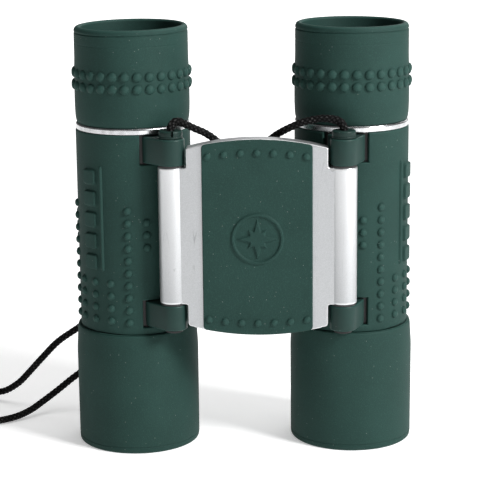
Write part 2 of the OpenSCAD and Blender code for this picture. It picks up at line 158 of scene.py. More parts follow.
class Shader:
    """A material under construction, with one Principled surface."""

    def __init__(self, name: str) -> None:
        """Start a material of this name with only its surface and output."""
        self.material = bpy.data.materials.new(name)
        self.material.use_nodes = True
        self.tree = self.material.node_tree
        self.tree.nodes.clear()
        self.surface = self.tree.nodes.new("ShaderNodeBsdfPrincipled")
        output = self.tree.nodes.new("ShaderNodeOutputMaterial")
        self.tree.links.new(self.surface.outputs["BSDF"], output.inputs["Surface"])

    def node(self, kind: str, settings: dict | None = None, inputs: dict | None = None,
             out: int | str = 0) -> Value:
        """Add any node.

        Args:
            kind: The node's type.
            settings: Its properties, set before its sockets.
            inputs: Values or links by socket name or number.
            out: Name or number of the output to return.

        Returns:
            The chosen output.
        """
        made = self.tree.nodes.new(kind)
        for key, setting in (settings or {}).items():
            setattr(made, key, setting)
        for key, value in (inputs or {}).items():
            self.fill(made.inputs[key], value)
        return Value(self, made.outputs[out])

    def fill(self, socket: bpy.types.NodeSocket, value: "Value | float | Sequence[float]") -> None:
        """Link a value to a socket, or give the socket a number or colour of its own."""
        if isinstance(value, Value):
            self.tree.links.new(value.socket, socket)
        else:
            socket.default_value = value

    def math(self, operation: str, *terms: "Value | float") -> Value:
        """One Math node on the terms."""
        return self.node("ShaderNodeMath", {"operation": operation}, dict(enumerate(terms)))

    def set(self, **sockets: "Value | float | Sequence[float]") -> None:
        """Drive or fix the surface's sockets, named in lower case with underscores."""
        for key, value in sockets.items():
            label = key.replace("_", " ").title().replace("Ior", "IOR")
            self.fill(self.surface.inputs[label], value)

    def place(self, scale: Triple | None = None) -> Value:
        """Object coordinates in metres, stretched by scale if it is given."""
        here = self.node("ShaderNodeTexCoord", out="Object")
        if scale is None:
            return here
        return self.node("ShaderNodeMapping", None, {"Vector": here, "Scale": scale})

    def noise(self, scale: float, detail: float = 2.0, at: Value | None = None) -> Value:
        """Noise from nought to one, with so many cells to the metre."""
        return self.node("ShaderNodeTexNoise", None,
                         {"Vector": at or self.place(), "Scale": scale, "Detail": detail})

    def blend(self, factor: "Value | float", first: "Value | Sequence[float]",
              second: "Value | Sequence[float]") -> Value:
        """Colour between two colours."""
        return self.node("ShaderNodeMix", {"data_type": "RGBA"},
                         {0: factor, 6: first, 7: second}, out=2)

    def attribute(self, name: str) -> Value:
        """A number stored on the mesh's points, nought where the mesh has none."""
        return self.node("ShaderNodeAttribute", {"attribute_name": name}, out="Fac")

    def emboss(self, height: Value, depth: float, strength: float = 1.0) -> None:
        """Feed a height, scaled to a depth in metres, to the surface's normal."""
        self.set(normal=self.node("ShaderNodeBump", None,
                                  {"Height": height, "Distance": depth, "Strength": strength}))


def opaque(colour: Triple, gain: float = 1.0) -> tuple[float, float, float, float]:
    """A colour times a gain, with full alpha."""
    return (colour[0] * gain, colour[1] * gain, colour[2] * gain, 1.0)


def lint(shader: Shader) -> Value:
    """Mask of small lint specks: a dot in the middle of one cell in several."""
    cells = {"Vector": shader.place(), "Scale": 700.0}
    near = shader.node("ShaderNodeTexVoronoi", None, cells, out="Distance")
    chance = shader.node("ShaderNodeTexVoronoi", None, cells, out="Color")
    return near.eased(0.085, 0.045) * (chance > 0.52)


@dataclass(frozen=True)
class Finish:
    """What a surface is made of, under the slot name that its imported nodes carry."""

    slot: str
    colour: Triple
    roughness: float

    def make(self) -> bpy.types.Material:
        """Build the material, named after its slot."""
        shader = Shader(f"{self.slot}_finish")
        self.paint(shader)
        return shader.material

    def paint(self, shader: Shader) -> None:
        """Fill in the surface, which each kind of finish does in its own way."""
        raise NotImplementedError

    def shades(self, shader: Shader, factor: Value, first: float, second: float) -> Value:
        """Blend between the finish's colour at one gain and at another.

        Args:
            shader: The material in hand.
            factor: Nought for the first gain, one for the second.
            first: Gain on the colour.
            second: The other gain.

        Returns:
            The blended colour.
        """
        return shader.blend(factor, opaque(self.colour, first), opaque(self.colour, second))


@dataclass(frozen=True)
class SoftRubber(Finish):
    """Matt soft-touch rubber with a sandy skin, pale lint, and crests made paler for wear and as a painted
    highlight.
    """

    slot: str = "green_rubber"
    colour: Triple = (0.0148, 0.0415, 0.0350)
    roughness: float = 0.62

    def paint(self, shader: Shader) -> None:
        """Clouds, then paler sand, then paler crests and lip, partly wear and partly a painted highlight, then lint
        that stands proud.

        Args:
            shader: The material to fill in.
        """
        sand, wear_and_sheen, specks = shader.noise(3800, 3), shader.attribute("wear_and_sheen"), lint(shader)
        tone = self.shades(shader, shader.noise(70, 3).eased(0.3, 0.7), 0.93, 1.08)
        tone = shader.blend(sand.eased(0.45, 0.8) * 0.55, tone, opaque(self.colour, 1.75))
        # Paler tone on nub crests and the lip top: partly wear, partly a painted highlight.
        tone = shader.blend(wear_and_sheen * 0.28, tone, opaque(self.colour, 2.1))
        shader.set(
            base_color=shader.blend(specks * 0.5, tone, LINT_TONE),
            roughness=self.roughness + 0.1 * sand - 0.07 * wear_and_sheen,
            specular_ior_level=0.14,
        )
        shader.emboss(sand + 0.35 * shader.noise(9000, 1) + 0.6 * specks, 0.035 * MM)


@dataclass(frozen=True)
class HardPlastic(Finish):
    """Satin hard plastic with a faint orange-peel skin and handling marks."""

    slot: str = "green_plastic"
    colour: Triple = (0.0112, 0.0318, 0.0270)
    roughness: float = 0.42

    def paint(self, shader: Shader) -> None:
        """Clouds in colour and gloss, paler rubbed edges, and a little lint.

        Args:
            shader: The material to fill in.
        """
        cloud, wear_and_sheen = shader.noise(260, 3), shader.attribute("wear_and_sheen")
        tone = self.shades(shader, cloud.eased(0.3, 0.7), 0.92, 1.1)
        tone = shader.blend(wear_and_sheen * 0.35, tone, opaque(self.colour, 2.6))
        shader.set(
            base_color=shader.blend(lint(shader) * 0.35, tone, LINT_TONE),
            roughness=self.roughness + 0.16 * cloud - 0.12 * wear_and_sheen,
            specular_ior_level=0.2,
        )
        shader.emboss(shader.noise(2600, 2), 0.012 * MM)


@dataclass(frozen=True)
class SatinSilver(Finish):
    """Satin silver lacquer on cast metal: a fine sparkle and a few long scratches."""

    slot: str = "satin_silver"
    colour: Triple = (0.485, 0.495, 0.505)
    roughness: float = 0.44

    def paint(self, shader: Shader) -> None:
        """Sparkle, then darker scratches, then bright rubbed edges.

        Args:
            shader: The material to fill in.
        """
        flake, wear_and_sheen = shader.noise(6500, 2), shader.attribute("wear_and_sheen")
        scratch = self.scratches(shader)
        tone = self.shades(shader, flake.eased(0.35, 0.65), 0.93, 1.07)
        tone = shader.blend(scratch * 0.4, tone, opaque(self.colour, 0.45))
        tone = shader.blend(wear_and_sheen * 0.6, tone, (0.93, 0.935, 0.94, 1.0))
        roughness = self.roughness + 0.12 * shader.noise(120, 2) - 0.1 * wear_and_sheen
        shader.set(base_color=tone, metallic=1.0, roughness=roughness)
        shader.emboss(flake - 0.5 * scratch, 0.012 * MM)

    @staticmethod
    def scratches(shader: Shader) -> Value:
        """Mask of hairline scratches: a few contour lines of a stretched noise."""
        turned = shader.node("ShaderNodeMapping", None, {
            "Vector": shader.place(), "Rotation": (0.0, 0.62, 0.0), "Scale": (1.0, 1.0, 0.08),
        })
        line = abs(shader.noise(210, 0, turned) - 0.5)
        return line.eased(0.004, 0.0015) * shader.noise(160, 1).eased(0.56, 0.62)


@dataclass(frozen=True)
class BrightMetal(Finish):
    """Plated or plain metal with turning marks round the Z axis."""

    slot: str = "chrome_ring"
    colour: Triple = (0.60, 0.61, 0.62)
    roughness: float = 0.17
    marks: float = 0.01 * MM

    def paint(self, shader: Shader) -> None:
        """Haze in colour and gloss, fine rings round Z, and slow ripples round the ring.

        Args:
            shader: The material to fill in.
        """
        turned = shader.noise(5200, 2, shader.place((0.05, 0.05, 1.0)))
        ripple = shader.noise(170, 1, shader.place((1.0, 1.0, 0.05)))
        haze = shader.noise(420, 3)
        shader.set(
            base_color=self.shades(shader, haze.eased(0.35, 0.75), 1.0, 0.74),
            metallic=1.0,
            roughness=self.roughness + 0.14 * haze * haze + 0.05 * turned,
        )
        shader.emboss(0.25 * turned + 12.0 * ripple, self.marks)


@dataclass(frozen=True)
class BlackSurface(Finish):
    """Matt black paint, plating or plastic, with worn paler edges."""

    slot: str = "black_metal"
    colour: Triple = (0.007, 0.0075, 0.0075)
    roughness: float = 0.5

    def paint(self, shader: Shader) -> None:
        """Dusty black with grey rubbed edges.

        Args:
            shader: The material to fill in.
        """
        grain = shader.noise(3000, 3)
        tone = self.shades(shader, shader.noise(900, 4).eased(0.5, 0.8) * 0.5, 1.0, 2.4)
        tone = shader.blend(shader.attribute("wear_and_sheen") * 0.4, tone, (0.16, 0.16, 0.165, 1.0))
        shader.set(base_color=tone, roughness=self.roughness + 0.2 * grain - 0.1)
        shader.emboss(grain, 0.02 * MM)


@dataclass(frozen=True)
class CoatedGlass(Finish):
    """Lens or prism glass with a thin coating, tinted at a glancing view, and a little dust."""

    slot: str = "coated_glass"
    colour: Triple = (0.97, 0.93, 1.0)
    roughness: float = 0.015
    glancing: Triple = (0.62, 0.9, 0.72)

    def paint(self, shader: Shader) -> None:
        """Clear, with the coating's tint towards the edge.

        Args:
            shader: The material to fill in.
        """
        edge = shader.node("ShaderNodeLayerWeight", None, {"Blend": 0.35}, out="Facing")
        shader.set(
            base_color=shader.blend(edge, opaque(self.colour), opaque(self.glancing)),
            roughness=self.roughness + 0.05 * shader.noise(1500, 3).eased(0.62, 0.78),
            transmission_weight=1.0,
            ior=1.58,
        )


@dataclass(frozen=True)
class BraidedYarn(Finish):
    """Black braid of two crossing families of flat strands, read from the cord's UV map.

    U goes once round the cord and V is the length in circumferences, so a strand of either
    family runs along a constant sum or difference of U and V.
    """

    slot: str = "black_cord"
    colour: Triple = (0.0035, 0.0035, 0.0037)
    roughness: float = 0.7
    carriers: int = 5

    def paint(self, shader: Shader) -> None:
        """Painted shade between the strands, a painted highlight on their crests, and painted glints where single
        yarns would shine.

        Args:
            shader: The material to fill in.
        """
        chart = shader.node("ShaderNodeUVMap", {"uv_map": "braid"})
        split = shader.node("ShaderNodeSeparateXYZ", None, {"Vector": chart})
        along = Value(shader, split.socket.node.outputs["Y"])
        rising = (split + along) * self.carriers
        falling = (split - along) * self.carriers
        turn = (rising.floor() + falling.floor()) % 2.0
        over = self.strand(rising % 1.0, falling % 1.0)
        under = self.strand(falling % 1.0, rising % 1.0)
        crest = turn * over + (1.0 - turn) * under
        across = turn * (rising % 1.0) + (1.0 - turn) * (falling % 1.0)
        yarn = abs((across * 5.0) % 1.0 - 0.5) * 2.0
        lustre = shader.noise(1500, 2)
        # shine: painted glints on the strand crests, blended into the base colour.
        shine = crest.eased(0.55, 1.0) * yarn.eased(0.35, 0.9) * lustre.eased(0.42, 0.7)
        # Painted shade between the strands and a painted highlight on their crests.
        tone = self.shades(shader, crest.eased(0.25, 0.9), 0.1, 2.2)
        shader.set(
            base_color=shader.blend(shine * 0.6, tone, (0.19, 0.185, 0.18, 1.0)),
            roughness=self.roughness - 0.25 * shine,
            specular_ior_level=0.12,
        )
        shader.emboss(crest + 0.2 * yarn, 0.16 * MM)

    @staticmethod
    def strand(across: Value, along: Value) -> Value:
        """Height of a strand: round across it, and dipping at both ends of a float."""
        side = abs(across - 0.5) * 2.0
        end = abs(along - 0.5) * 2.0
        return (1.0 - side * side) * (1.0 - 0.6 * end * end)


RUBBER = SoftRubber()
PLASTIC = HardPlastic()
PIN_LACQUER = HardPlastic("green_metal", (0.0085, 0.023, 0.0195), 0.38)
SILVER = SatinSilver()
CHROME = BrightMetal()
STEEL = BrightMetal("steel", (0.56, 0.56, 0.57), 0.3, marks=0.02 * MM)
BLACK_METAL = BlackSurface()
BLACK_PLASTIC = BlackSurface("black_plastic", (0.02, 0.02, 0.021), 0.58)
LENS_GLASS = CoatedGlass()
PRISM_GLASS = CoatedGlass("clear_glass", (0.97, 0.98, 1.0), glancing=(0.85, 0.93, 0.95))
BRAID = BraidedYarn()


class Wardrobe:
    """Makes each finish once and hands it out."""

    made: dict[Finish, bpy.types.Material] = {}

    @classmethod
    def material(cls, finish: Finish) -> bpy.types.Material:
        """The finish's material, built when it is first asked for."""
        if finish not in cls.made:
            cls.made[finish] = finish.make()
        return cls.made[finish]

    @classmethod
    def dress(cls, obj: bpy.types.Object, finish: Finish) -> None:
        """Give an object this finish in every material slot."""
        material = cls.material(finish)
        if not obj.data.materials:
            obj.data.materials.append(material)
        for slot in obj.material_slots:
            slot.material = material


# ---- Places ----


@dataclass(frozen=True)
class Place:
    """Where a sub-assembly's own axes lie in the part's frame, in metres.

    A point is the origin plus x along one level direction plus y along the other; a mirrored
    place turns shapes inside out, so its faces are turned back.
    """

    origin: Pair
    x_axis: Pair
    y_axis: Pair

    @classmethod
    def of_tube(cls, side: Side) -> "Place":
        """Read a tube's axes from the boxes of its hood and its hinge pin.

        Args:
            side: The tube's side.

        Returns:
            The tube's place.
        """
        axis, hinge = middle(side.node("objective_hood")), middle(side.node("pin"))
        away = np.array([axis[0] - hinge[0], axis[1] - hinge[1]])
        y = away / np.hypot(*away)
        x = np.array([y[1], -y[0]]) * (1 if side is Side.LEFT else -1)
        return cls(axis, tuple(x), tuple(y))

    @classmethod
    def of_bridge(cls) -> "Place":
        """Read the bridge's axes from the boxes of the two hinge pins."""
        left, right = middle("left_pin"), middle("right_pin")
        return cls(((left[0] + right[0]) / 2, (left[1] + right[1]) / 2), (1.0, 0.0), (0.0, 1.0))

    def put(self, points: Array) -> Array:
        """Turn points in millimetres, in these axes, into metres in the part's frame."""
        flat = points.reshape(-1, 3) * MM
        level = flat[:, :1] * np.array(self.x_axis) + flat[:, 1:2] * np.array(self.y_axis)
        return np.column_stack([level + np.array(self.origin), flat[:, 2]])


def middle(node: str) -> Pair:
    """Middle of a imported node's box, seen from above, in metres."""
    low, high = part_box(node)
    return ((low[0] + high[0]) / 2, (low[1] + high[1]) / 2)


# ---- Surfaces ----


def graded(*spans: Triple) -> Array:
    """Numbers along a line: each span gives a start, an end and the step between.

    Args:
        spans: Start, end and largest step of each stretch, one after another.

    Returns:
        The sorted numbers, each once.
    """
    runs = [np.linspace(a, b, max(int(math.ceil((b - a) / step - 1e-9)), 1) + 1)
            for a, b, step in spans]
    return np.unique(np.round(np.concatenate(runs), 6))


def rounded(corners: Sequence[Triple], steps: int = 4, closed: bool = True) -> Array:
    """Outline with its corners rounded.

    Each corner is cut back along both of its sides and joined by a curve whose point at t is
    (1-t)^2 of the first cut, 2t(1-t) of the corner and t^2 of the second cut. A point a little
    further out on each side keeps the flats flat.

    Args:
        corners: Two coordinates of each corner, and how far it is cut back.
        steps: Pieces of each curve.
        closed: Whether the last corner joins the first.

    Returns:
        Points of the outline, one row each.
    """
    data = np.array(corners, float)
    spot, cut = data[:, None, :2], data[:, None, 2:]
    before, after = np.roll(spot, 1, axis=0) - spot, np.roll(spot, -1, axis=0) - spot
    before /= np.linalg.norm(before, axis=2, keepdims=True)
    after /= np.linalg.norm(after, axis=2, keepdims=True)
    t = np.linspace(0, 1, steps + 1)[None, :, None]
    curve = spot + cut * ((1 - t) ** 2 * before + t ** 2 * after)
    full = np.concatenate([spot + 1.3 * cut * before, curve, spot + 1.3 * cut * after], axis=1)
    keep = np.repeat(cut > 0, steps + 3, axis=1)[..., 0]
    keep[:, 0] |= cut[:, 0, 0] <= 0
    if not closed:
        full[[0, -1]] = spot[[0, -1]]
        keep[[0, -1]] = False
        keep[[0, -1], 0] = True
    return full[keep]


def inset(outline: Array, depth: float) -> Array:
    """Move a closed outline inwards by a depth, each point along its mitre.

    The mitre is the sum of the two sides' inward normals over one plus their product.
    """
    ahead = np.roll(outline, -1, axis=0) - outline
    ahead /= np.linalg.norm(ahead, axis=1, keepdims=True)
    (x, y), (next_x, next_y) = outline.T, np.roll(outline, -1, axis=0).T
    area = np.sum(x * next_y - next_x * y)
    inward = np.column_stack([-ahead[:, 1], ahead[:, 0]]) * math.copysign(1.0, area)
    behind = np.roll(inward, 1, axis=0)
    spread = 1 + np.sum(inward * behind, axis=1, keepdims=True)
    return outline + depth * (inward + behind) / np.maximum(spread, 0.5)


def dome(distance: Array, reach: float, height: float) -> Array:
    """Soft round bump: the root of one less most of the squared distance, scaled to the height.

    Args:
        distance: Distance of each point from the bump's middle.
        reach: Radius of the bump's foot.
        height: Height of its crest.

    Returns:
        Height at each point.
    """
    kept = 0.94
    foot = math.sqrt(1 - kept)
    share = np.clip(distance / reach, 0, 1)
    return height * (np.sqrt(1 - share ** 2 * kept) - foot) / (1 - foot)


@dataclass(frozen=True)
class Nub:
    """Round nub moulded out of a block of grid cells, which keeps its foot crisp.

    The block runs from -1 to 1 both ways. Its square rings, by the larger of the two sizes,
    become circles: ring s of the way to the foot has radius reach sin(s 90) and stands
    height cos(s 90) proud. Past the foot the circles ease back into the block's square edge.
    """

    reach: float
    height: float
    half_wide: float
    half_tall: float
    cells: int = 12

    def press(self, u: Array, v: Array) -> tuple[Array, Array, Array]:
        """Move the block's points.

        Args:
            u: Place across the block; points past -1 or 1 stay where they are.
            v: Place up the block.

        Returns:
            Distances across and up from the nub's middle, and the height over the wall.
        """
        ring, off = np.maximum(np.abs(u), np.abs(v)), np.maximum(np.hypot(u, v), 1e-9)
        foot = 1 - 2 / self.cells
        share = np.clip(ring / foot, 0, 1) * math.pi / 2
        past = np.clip((ring - foot) / (1 - foot), 0, 1)
        grow = self.reach * np.sin(share) / off
        edge = np.where(ring > 1, 1.0, 1 / np.maximum(ring, 1e-9))
        x = (1 - past) * u * grow + past * u * edge * self.half_wide
        y = (1 - past) * v * grow + past * v * edge * self.half_tall
        return x, y, self.height * np.where(ring < foot, np.cos(share), 0.0)


def raised(distance: Array, height: float, slope: float = 0.16) -> Array:
    """Flat-topped relief: full height inside an outline, easing to nought over a slope outside.

    Args:
        distance: Signed distance from the outline, negative inside.
        height: Height of the flat top.
        slope: Width of the flank.

    Returns:
        Height at each point.
    """
    share = np.clip(0.5 - distance / slope, 0, 1)
    return height * share * share * (3 - 2 * share)


def box_distance(u: Array, v: Array, half_u: float, half_v: float, corner: float = 0.0) -> Array:
    """Signed distance from a rounded rectangle about the origin: outside along the shortest way,
    inside minus the way to the nearest side."""
    du, dv = np.abs(u) - half_u + corner, np.abs(v) - half_v + corner
    outside = np.hypot(np.maximum(du, 0), np.maximum(dv, 0))
    return outside + np.minimum(np.maximum(du, dv), 0) - corner


def eased_edge(distance: Array, radius: float) -> Array:
    """Drop of a surface towards an edge: a quarter circle within the radius, else nought."""
    inside = np.clip(radius - distance, 0, radius)
    return radius - np.sqrt(np.maximum(radius ** 2 - inside ** 2, 0))


class Shell:
    """A closed mesh gathered from grids and lids, in millimetres in a place's own axes."""

    def __init__(self) -> None:
        """Start with nothing."""
        self.points: list[Array] = []
        self.quads: list[Array] = []
        self.lids: list[list[int]] = []
        self.wear_and_sheen: list[Array] = []
        self.count = 0

    def add(self, points: Array, wear_and_sheen: Array | None = None) -> Array:
        """Store points of any grid.

        Args:
            points: Grid of points.
            wear_and_sheen: Wear of each point, and on some crests a painted highlight, from nought to one.

        Returns:
            Grid of the points' numbers.
        """
        shape = points.shape[:-1]
        size = int(np.prod(shape))
        self.points.append(points.reshape(size, 3))
        self.wear_and_sheen.append(np.broadcast_to(0.0 if wear_and_sheen is None else wear_and_sheen, shape).reshape(size))
        self.count += size
        return np.arange(self.count - size, self.count).reshape(shape)

    def skin(self, index: Array, wrap_rows: bool = False, wrap_columns: bool = True) -> None:
        """Cover a grid of point numbers with quads, joined round where it wraps."""
        if wrap_rows:
            index = np.vstack([index, index[:1]])
        if wrap_columns:
            index = np.hstack([index, index[:, :1]])
        corners = (index[:-1, :-1], index[:-1, 1:], index[1:, 1:], index[1:, :-1])
        self.quads.append(np.stack(corners, axis=-1).reshape(-1, 4))

    def fan(self, tip: Triple, ring: Array) -> None:
        """Close a ring of point numbers with triangles to one tip."""
        top = self.add(np.array(tip, float).reshape(1, 3))[0]
        after = np.roll(ring, -1)
        tops, none = np.full(ring.size, top), np.full(ring.size, -1)
        self.quads.append(np.stack([tops, none, ring, after], axis=-1))

    def lid(self, ring: Array, hole: Array | None = None) -> None:
        """Close a ring with a flat face, or with two halves round a hole.

        Args:
            ring: Numbers of the outline's points.
            hole: Numbers of a hole's points, starting level with the ring's first point and
                going the same way round.
        """
        if hole is None:
            self.lids.append(ring.tolist())
            return
        outer, inner = ring.size // 2, hole.size // 2
        around, back = np.append(ring, ring[0]), np.append(hole, hole[0])
        self.lids.append(around[:outer + 1].tolist() + back[:inner + 1][::-1].tolist())
        self.lids.append(around[outer:].tolist() + back[inner:][::-1].tolist())

    def turned(self, profile: Array, columns: Array | int = 128, axis: Pair = (0.0, 0.0),
               shape: Change | None = None, rubbed: RubAndSheen | None = None) -> None:
        """Turn a profile about a vertical axis.

        A point at angle a from the front is at x = -r sin a, y = -r cos a. The profile closes on
        itself, unless it starts and ends on the axis, where it gets a tip.

        Args:
            profile: Radius and height of each point.
            columns: Angles in degrees, or how many.
            axis: Where the axis stands.
            shape: Changes radius, height and angle.
            rubbed: Wear of each point, with a painted highlight on some crests, given the same.
        """
        angles = np.arange(columns) * 360.0 / columns if isinstance(columns, int) else columns
        tips = profile[0, 0] <= 0
        rows = profile[1:-1] if tips else profile
        radius, turn = np.broadcast_arrays(rows[:, :1], angles[None, :])
        height = np.broadcast_to(rows[:, 1:], radius.shape)
        wear_and_sheen = rubbed(radius, height, turn) if rubbed else None
        if shape:
            radius, height, turn = shape(radius, height, turn)
        way = np.radians(turn)
        x, y = axis[0] - radius * np.sin(way), axis[1] - radius * np.cos(way)
        grid = np.stack([x, y, height], axis=-1)
        index = self.add(grid, wear_and_sheen)
        self.skin(index, wrap_rows=not tips)
        if tips:
            self.fan((*axis, profile[0, 1]), index[0])
            self.fan((*axis, profile[-1, 1]), index[-1])

    def slab(self, outline: Array, low: float, high: float, edge: float, standing: bool = False,
             hole: Array | None = None) -> None:
        """A flat plate with quarter-round edges.

        Rings of the outline are inset by edge (1 - sin a) at a depth of edge (1 - cos a).

        Args:
            outline: Points of the outline.
            low: First face's place along the plate's thickness.
            high: Second face's place.
            edge: Radius of the edges.
            standing: Whether the outline is x and z and the thickness runs along y.
            hole: Outline of a hole through both faces.
        """
        turn = np.linspace(0, math.pi / 2, 5)
        sink, depth = edge * (1 - np.sin(turn)), edge * (1 - np.cos(turn))
        insets = np.concatenate([[edge * 1.4], sink, sink[::-1], [edge * 1.4]])
        places = np.concatenate([[low], low + depth, high - depth[::-1], [high]])
        rings = np.stack([inset(outline, d) for d in insets])
        wear_and_sheen = np.concatenate([[0, 0], np.full(3, 1.0), [0.2, 0.2], np.full(3, 1.0), [0, 0]])
        index = self.add(self.stand(rings, places, standing), wear_and_sheen[:, None])
        self.skin(index)
        inner = None
        if hole is not None:
            inner = self.add(self.stand(np.stack([hole, hole]), np.array([low, high]), standing))
            self.skin(inner)
        self.lid(index[0], None if inner is None else inner[0])
        self.lid(index[-1], None if inner is None else inner[1])

    @staticmethod
    def stand(rings: Array, places: Array, standing: bool) -> Array:
        """Give flat rings their place along the thickness, upright or lying."""
        third = np.broadcast_to(places[:, None], rings.shape[:2])
        first, second = rings[..., 0], rings[..., 1]
        return np.stack((first, third, second) if standing else (first, second, third), axis=-1)

    def build(self, name: str, place: Place, sharp: float = 48.0) -> bpy.types.Object:
        """Make the object, with its faces outwards.

        Args:
            name: The object's name.
            place: Where its axes lie.
            sharp: Edges that turn by more than this many degrees stay crisp.

        Returns:
            The object, at the origin.
        """
        points = place.put(np.concatenate(self.points))
        wear_and_sheen = np.concatenate(self.wear_and_sheen)
        quads = np.concatenate(self.quads)
        used = np.unique(np.concatenate([quads[quads >= 0], *(np.array(lid) for lid in self.lids)]))
        number = np.full(self.count, -1)
        number[used] = np.arange(used.size)
        fans = quads[:, 1] < 0
        faces = number[quads[~fans]].tolist() + number[quads[fans][:, [0, 2, 3]]].tolist()
        faces += [number[np.array(lid)].tolist() for lid in self.lids]
        mesh = bpy.data.meshes.new(name)
        mesh.from_pydata(points[used].tolist(), [], faces)
        rubbed = mesh.attributes.new("wear_and_sheen", "FLOAT", "POINT")
        rubbed.data.foreach_set("value", wear_and_sheen[used].astype(np.float32))
        outward(mesh)
        mesh.shade_smooth()
        mesh.set_sharp_from_angle(angle=math.radians(sharp))
        obj = bpy.data.objects.new(name, mesh)
        bpy.context.scene.collection.objects.link(obj)
        return obj


def outward(mesh: bpy.types.Mesh) -> None:
    """Turn a closed mesh's faces outwards."""
    work = bmesh.new()
    work.from_mesh(mesh)
    bmesh.ops.recalc_face_normals(work, faces=work.faces[:])
    work.to_mesh(mesh)
    work.free()


@dataclass
class Piece:
    """A finished object with what it rides on, what it stands for and how it looks."""

    name: str
    body: str
    finish: Finish
    nodes: tuple[str, ...]
    obj: bpy.types.Object

    def settle(self) -> None:
        """Dress the object and tell the frame about it."""
        Wardrobe.dress(self.obj, self.finish)
        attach(self.obj, self.body)
        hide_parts(*self.nodes)
        LOG.info("%s: %d faces on %s", self.name, len(self.obj.data.polygons), self.body)


# ---- Studio ----


@dataclass
class Studio:
    """Camera, pale floor and soft light."""

    eye: Triple = (20.13, -449.71, 158.08)
    yaw: float = -2.667
    pitch: float = 12.972
    roll: float = -0.568
    lens: float = 130.51

    def camera(self) -> None:
        """Set the camera: ahead, right and up come from yaw, pitch down and roll."""
        yaw, pitch, roll = (math.radians(a) for a in (self.yaw, self.pitch, self.roll))
        level = math.cos(pitch)
        ahead = np.array([math.sin(yaw) * level, math.cos(yaw) * level, -math.sin(pitch)])
        right = np.array([math.cos(yaw), -math.sin(yaw), 0.0])
        up = np.cross(right, ahead)
        across = right * math.cos(roll) + up * math.sin(roll)
        above = up * math.cos(roll) - right * math.sin(roll)
        data = bpy.data.cameras.new("camera")
        data.lens, data.sensor_width = self.lens, 36.0
        data.clip_start, data.clip_end = 0.01, 20.0
        camera = bpy.data.objects.new("camera", data)
        turn = np.eye(4)
        turn[:3, :4] = np.column_stack([across, above, -ahead, np.array(self.eye) * MM])
        camera.matrix_world = Matrix(turn.tolist())
        bpy.context.scene.collection.objects.link(camera)
        bpy.context.scene.camera = camera

    def floor(self) -> None:
        """A wide pale floor, which glows more with distance so that it ends in white."""
        half = 6.0
        mesh = bpy.data.meshes.new("floor")
        corners = [(-half, -half, 0), (half, -half, 0), (half, half, 0), (-half, half, 0)]
        mesh.from_pydata(corners, [], [(0, 1, 2, 3)])
        obj = bpy.data.objects.new("floor", mesh)
        bpy.context.scene.collection.objects.link(obj)
        shader = Shader("floor_paper")
        far = shader.node("ShaderNodeVectorMath", {"operation": "LENGTH"}, {0: shader.place()},
                          out="Value")
        glow = shader.blend(far.eased(0.15, 1.1), opaque(WHITE, 0.36), WHITE)
        shader.set(base_color=FLOOR_TONE, roughness=0.85, specular_ior_level=0.1,
                   emission_color=glow, emission_strength=1.0)
        mesh.materials.append(shader.material)

    def lights(self) -> None:
        """Soft boxes: name, place, aim, width, height and power in watts; and a pale world."""
        aim = np.array([0.0, 0.0, 0.055])
        for name, spot, width, height, power in (
            ("key", (0.66, -0.40, 0.56), 0.24, 0.24, 10.4),
            ("fill", (-0.35, -1.1, 0.6), 0.7, 0.7, 0.9),
            ("top", (0.2, 0.15, 1.1), 0.8, 0.8, 5.0),
            ("back", (0.4, 1.1, 0.6), 1.0, 0.8, 3.5),
        ):
            data = bpy.data.lights.new(name, "AREA")
            data.shape, data.size, data.size_y, data.energy = "RECTANGLE", width, height, power
            lamp = bpy.data.objects.new(name, data)
            back = np.array(spot) - aim
            back /= np.linalg.norm(back)
            side = np.cross((0.0, 0.0, 1.0), back)
            side /= np.linalg.norm(side)
            turn = np.eye(4)
            turn[:3, :4] = np.column_stack([side, np.cross(back, side), back, spot])
            lamp.matrix_world = Matrix(turn.tolist())
            bpy.context.scene.collection.objects.link(lamp)
        world = bpy.data.worlds.new("studio")
        world.use_nodes = True
        ground = world.node_tree.nodes["Background"]
        ground.inputs["Color"].default_value = WHITE
        ground.inputs["Strength"].default_value = 0.12
        bpy.context.scene.world = world
        bpy.context.scene.view_settings.view_transform = "Standard"

    def set_up(self) -> None:
        """Make all of it."""
        self.camera()
        self.floor()
        self.lights()


# ---- Neck cord ----


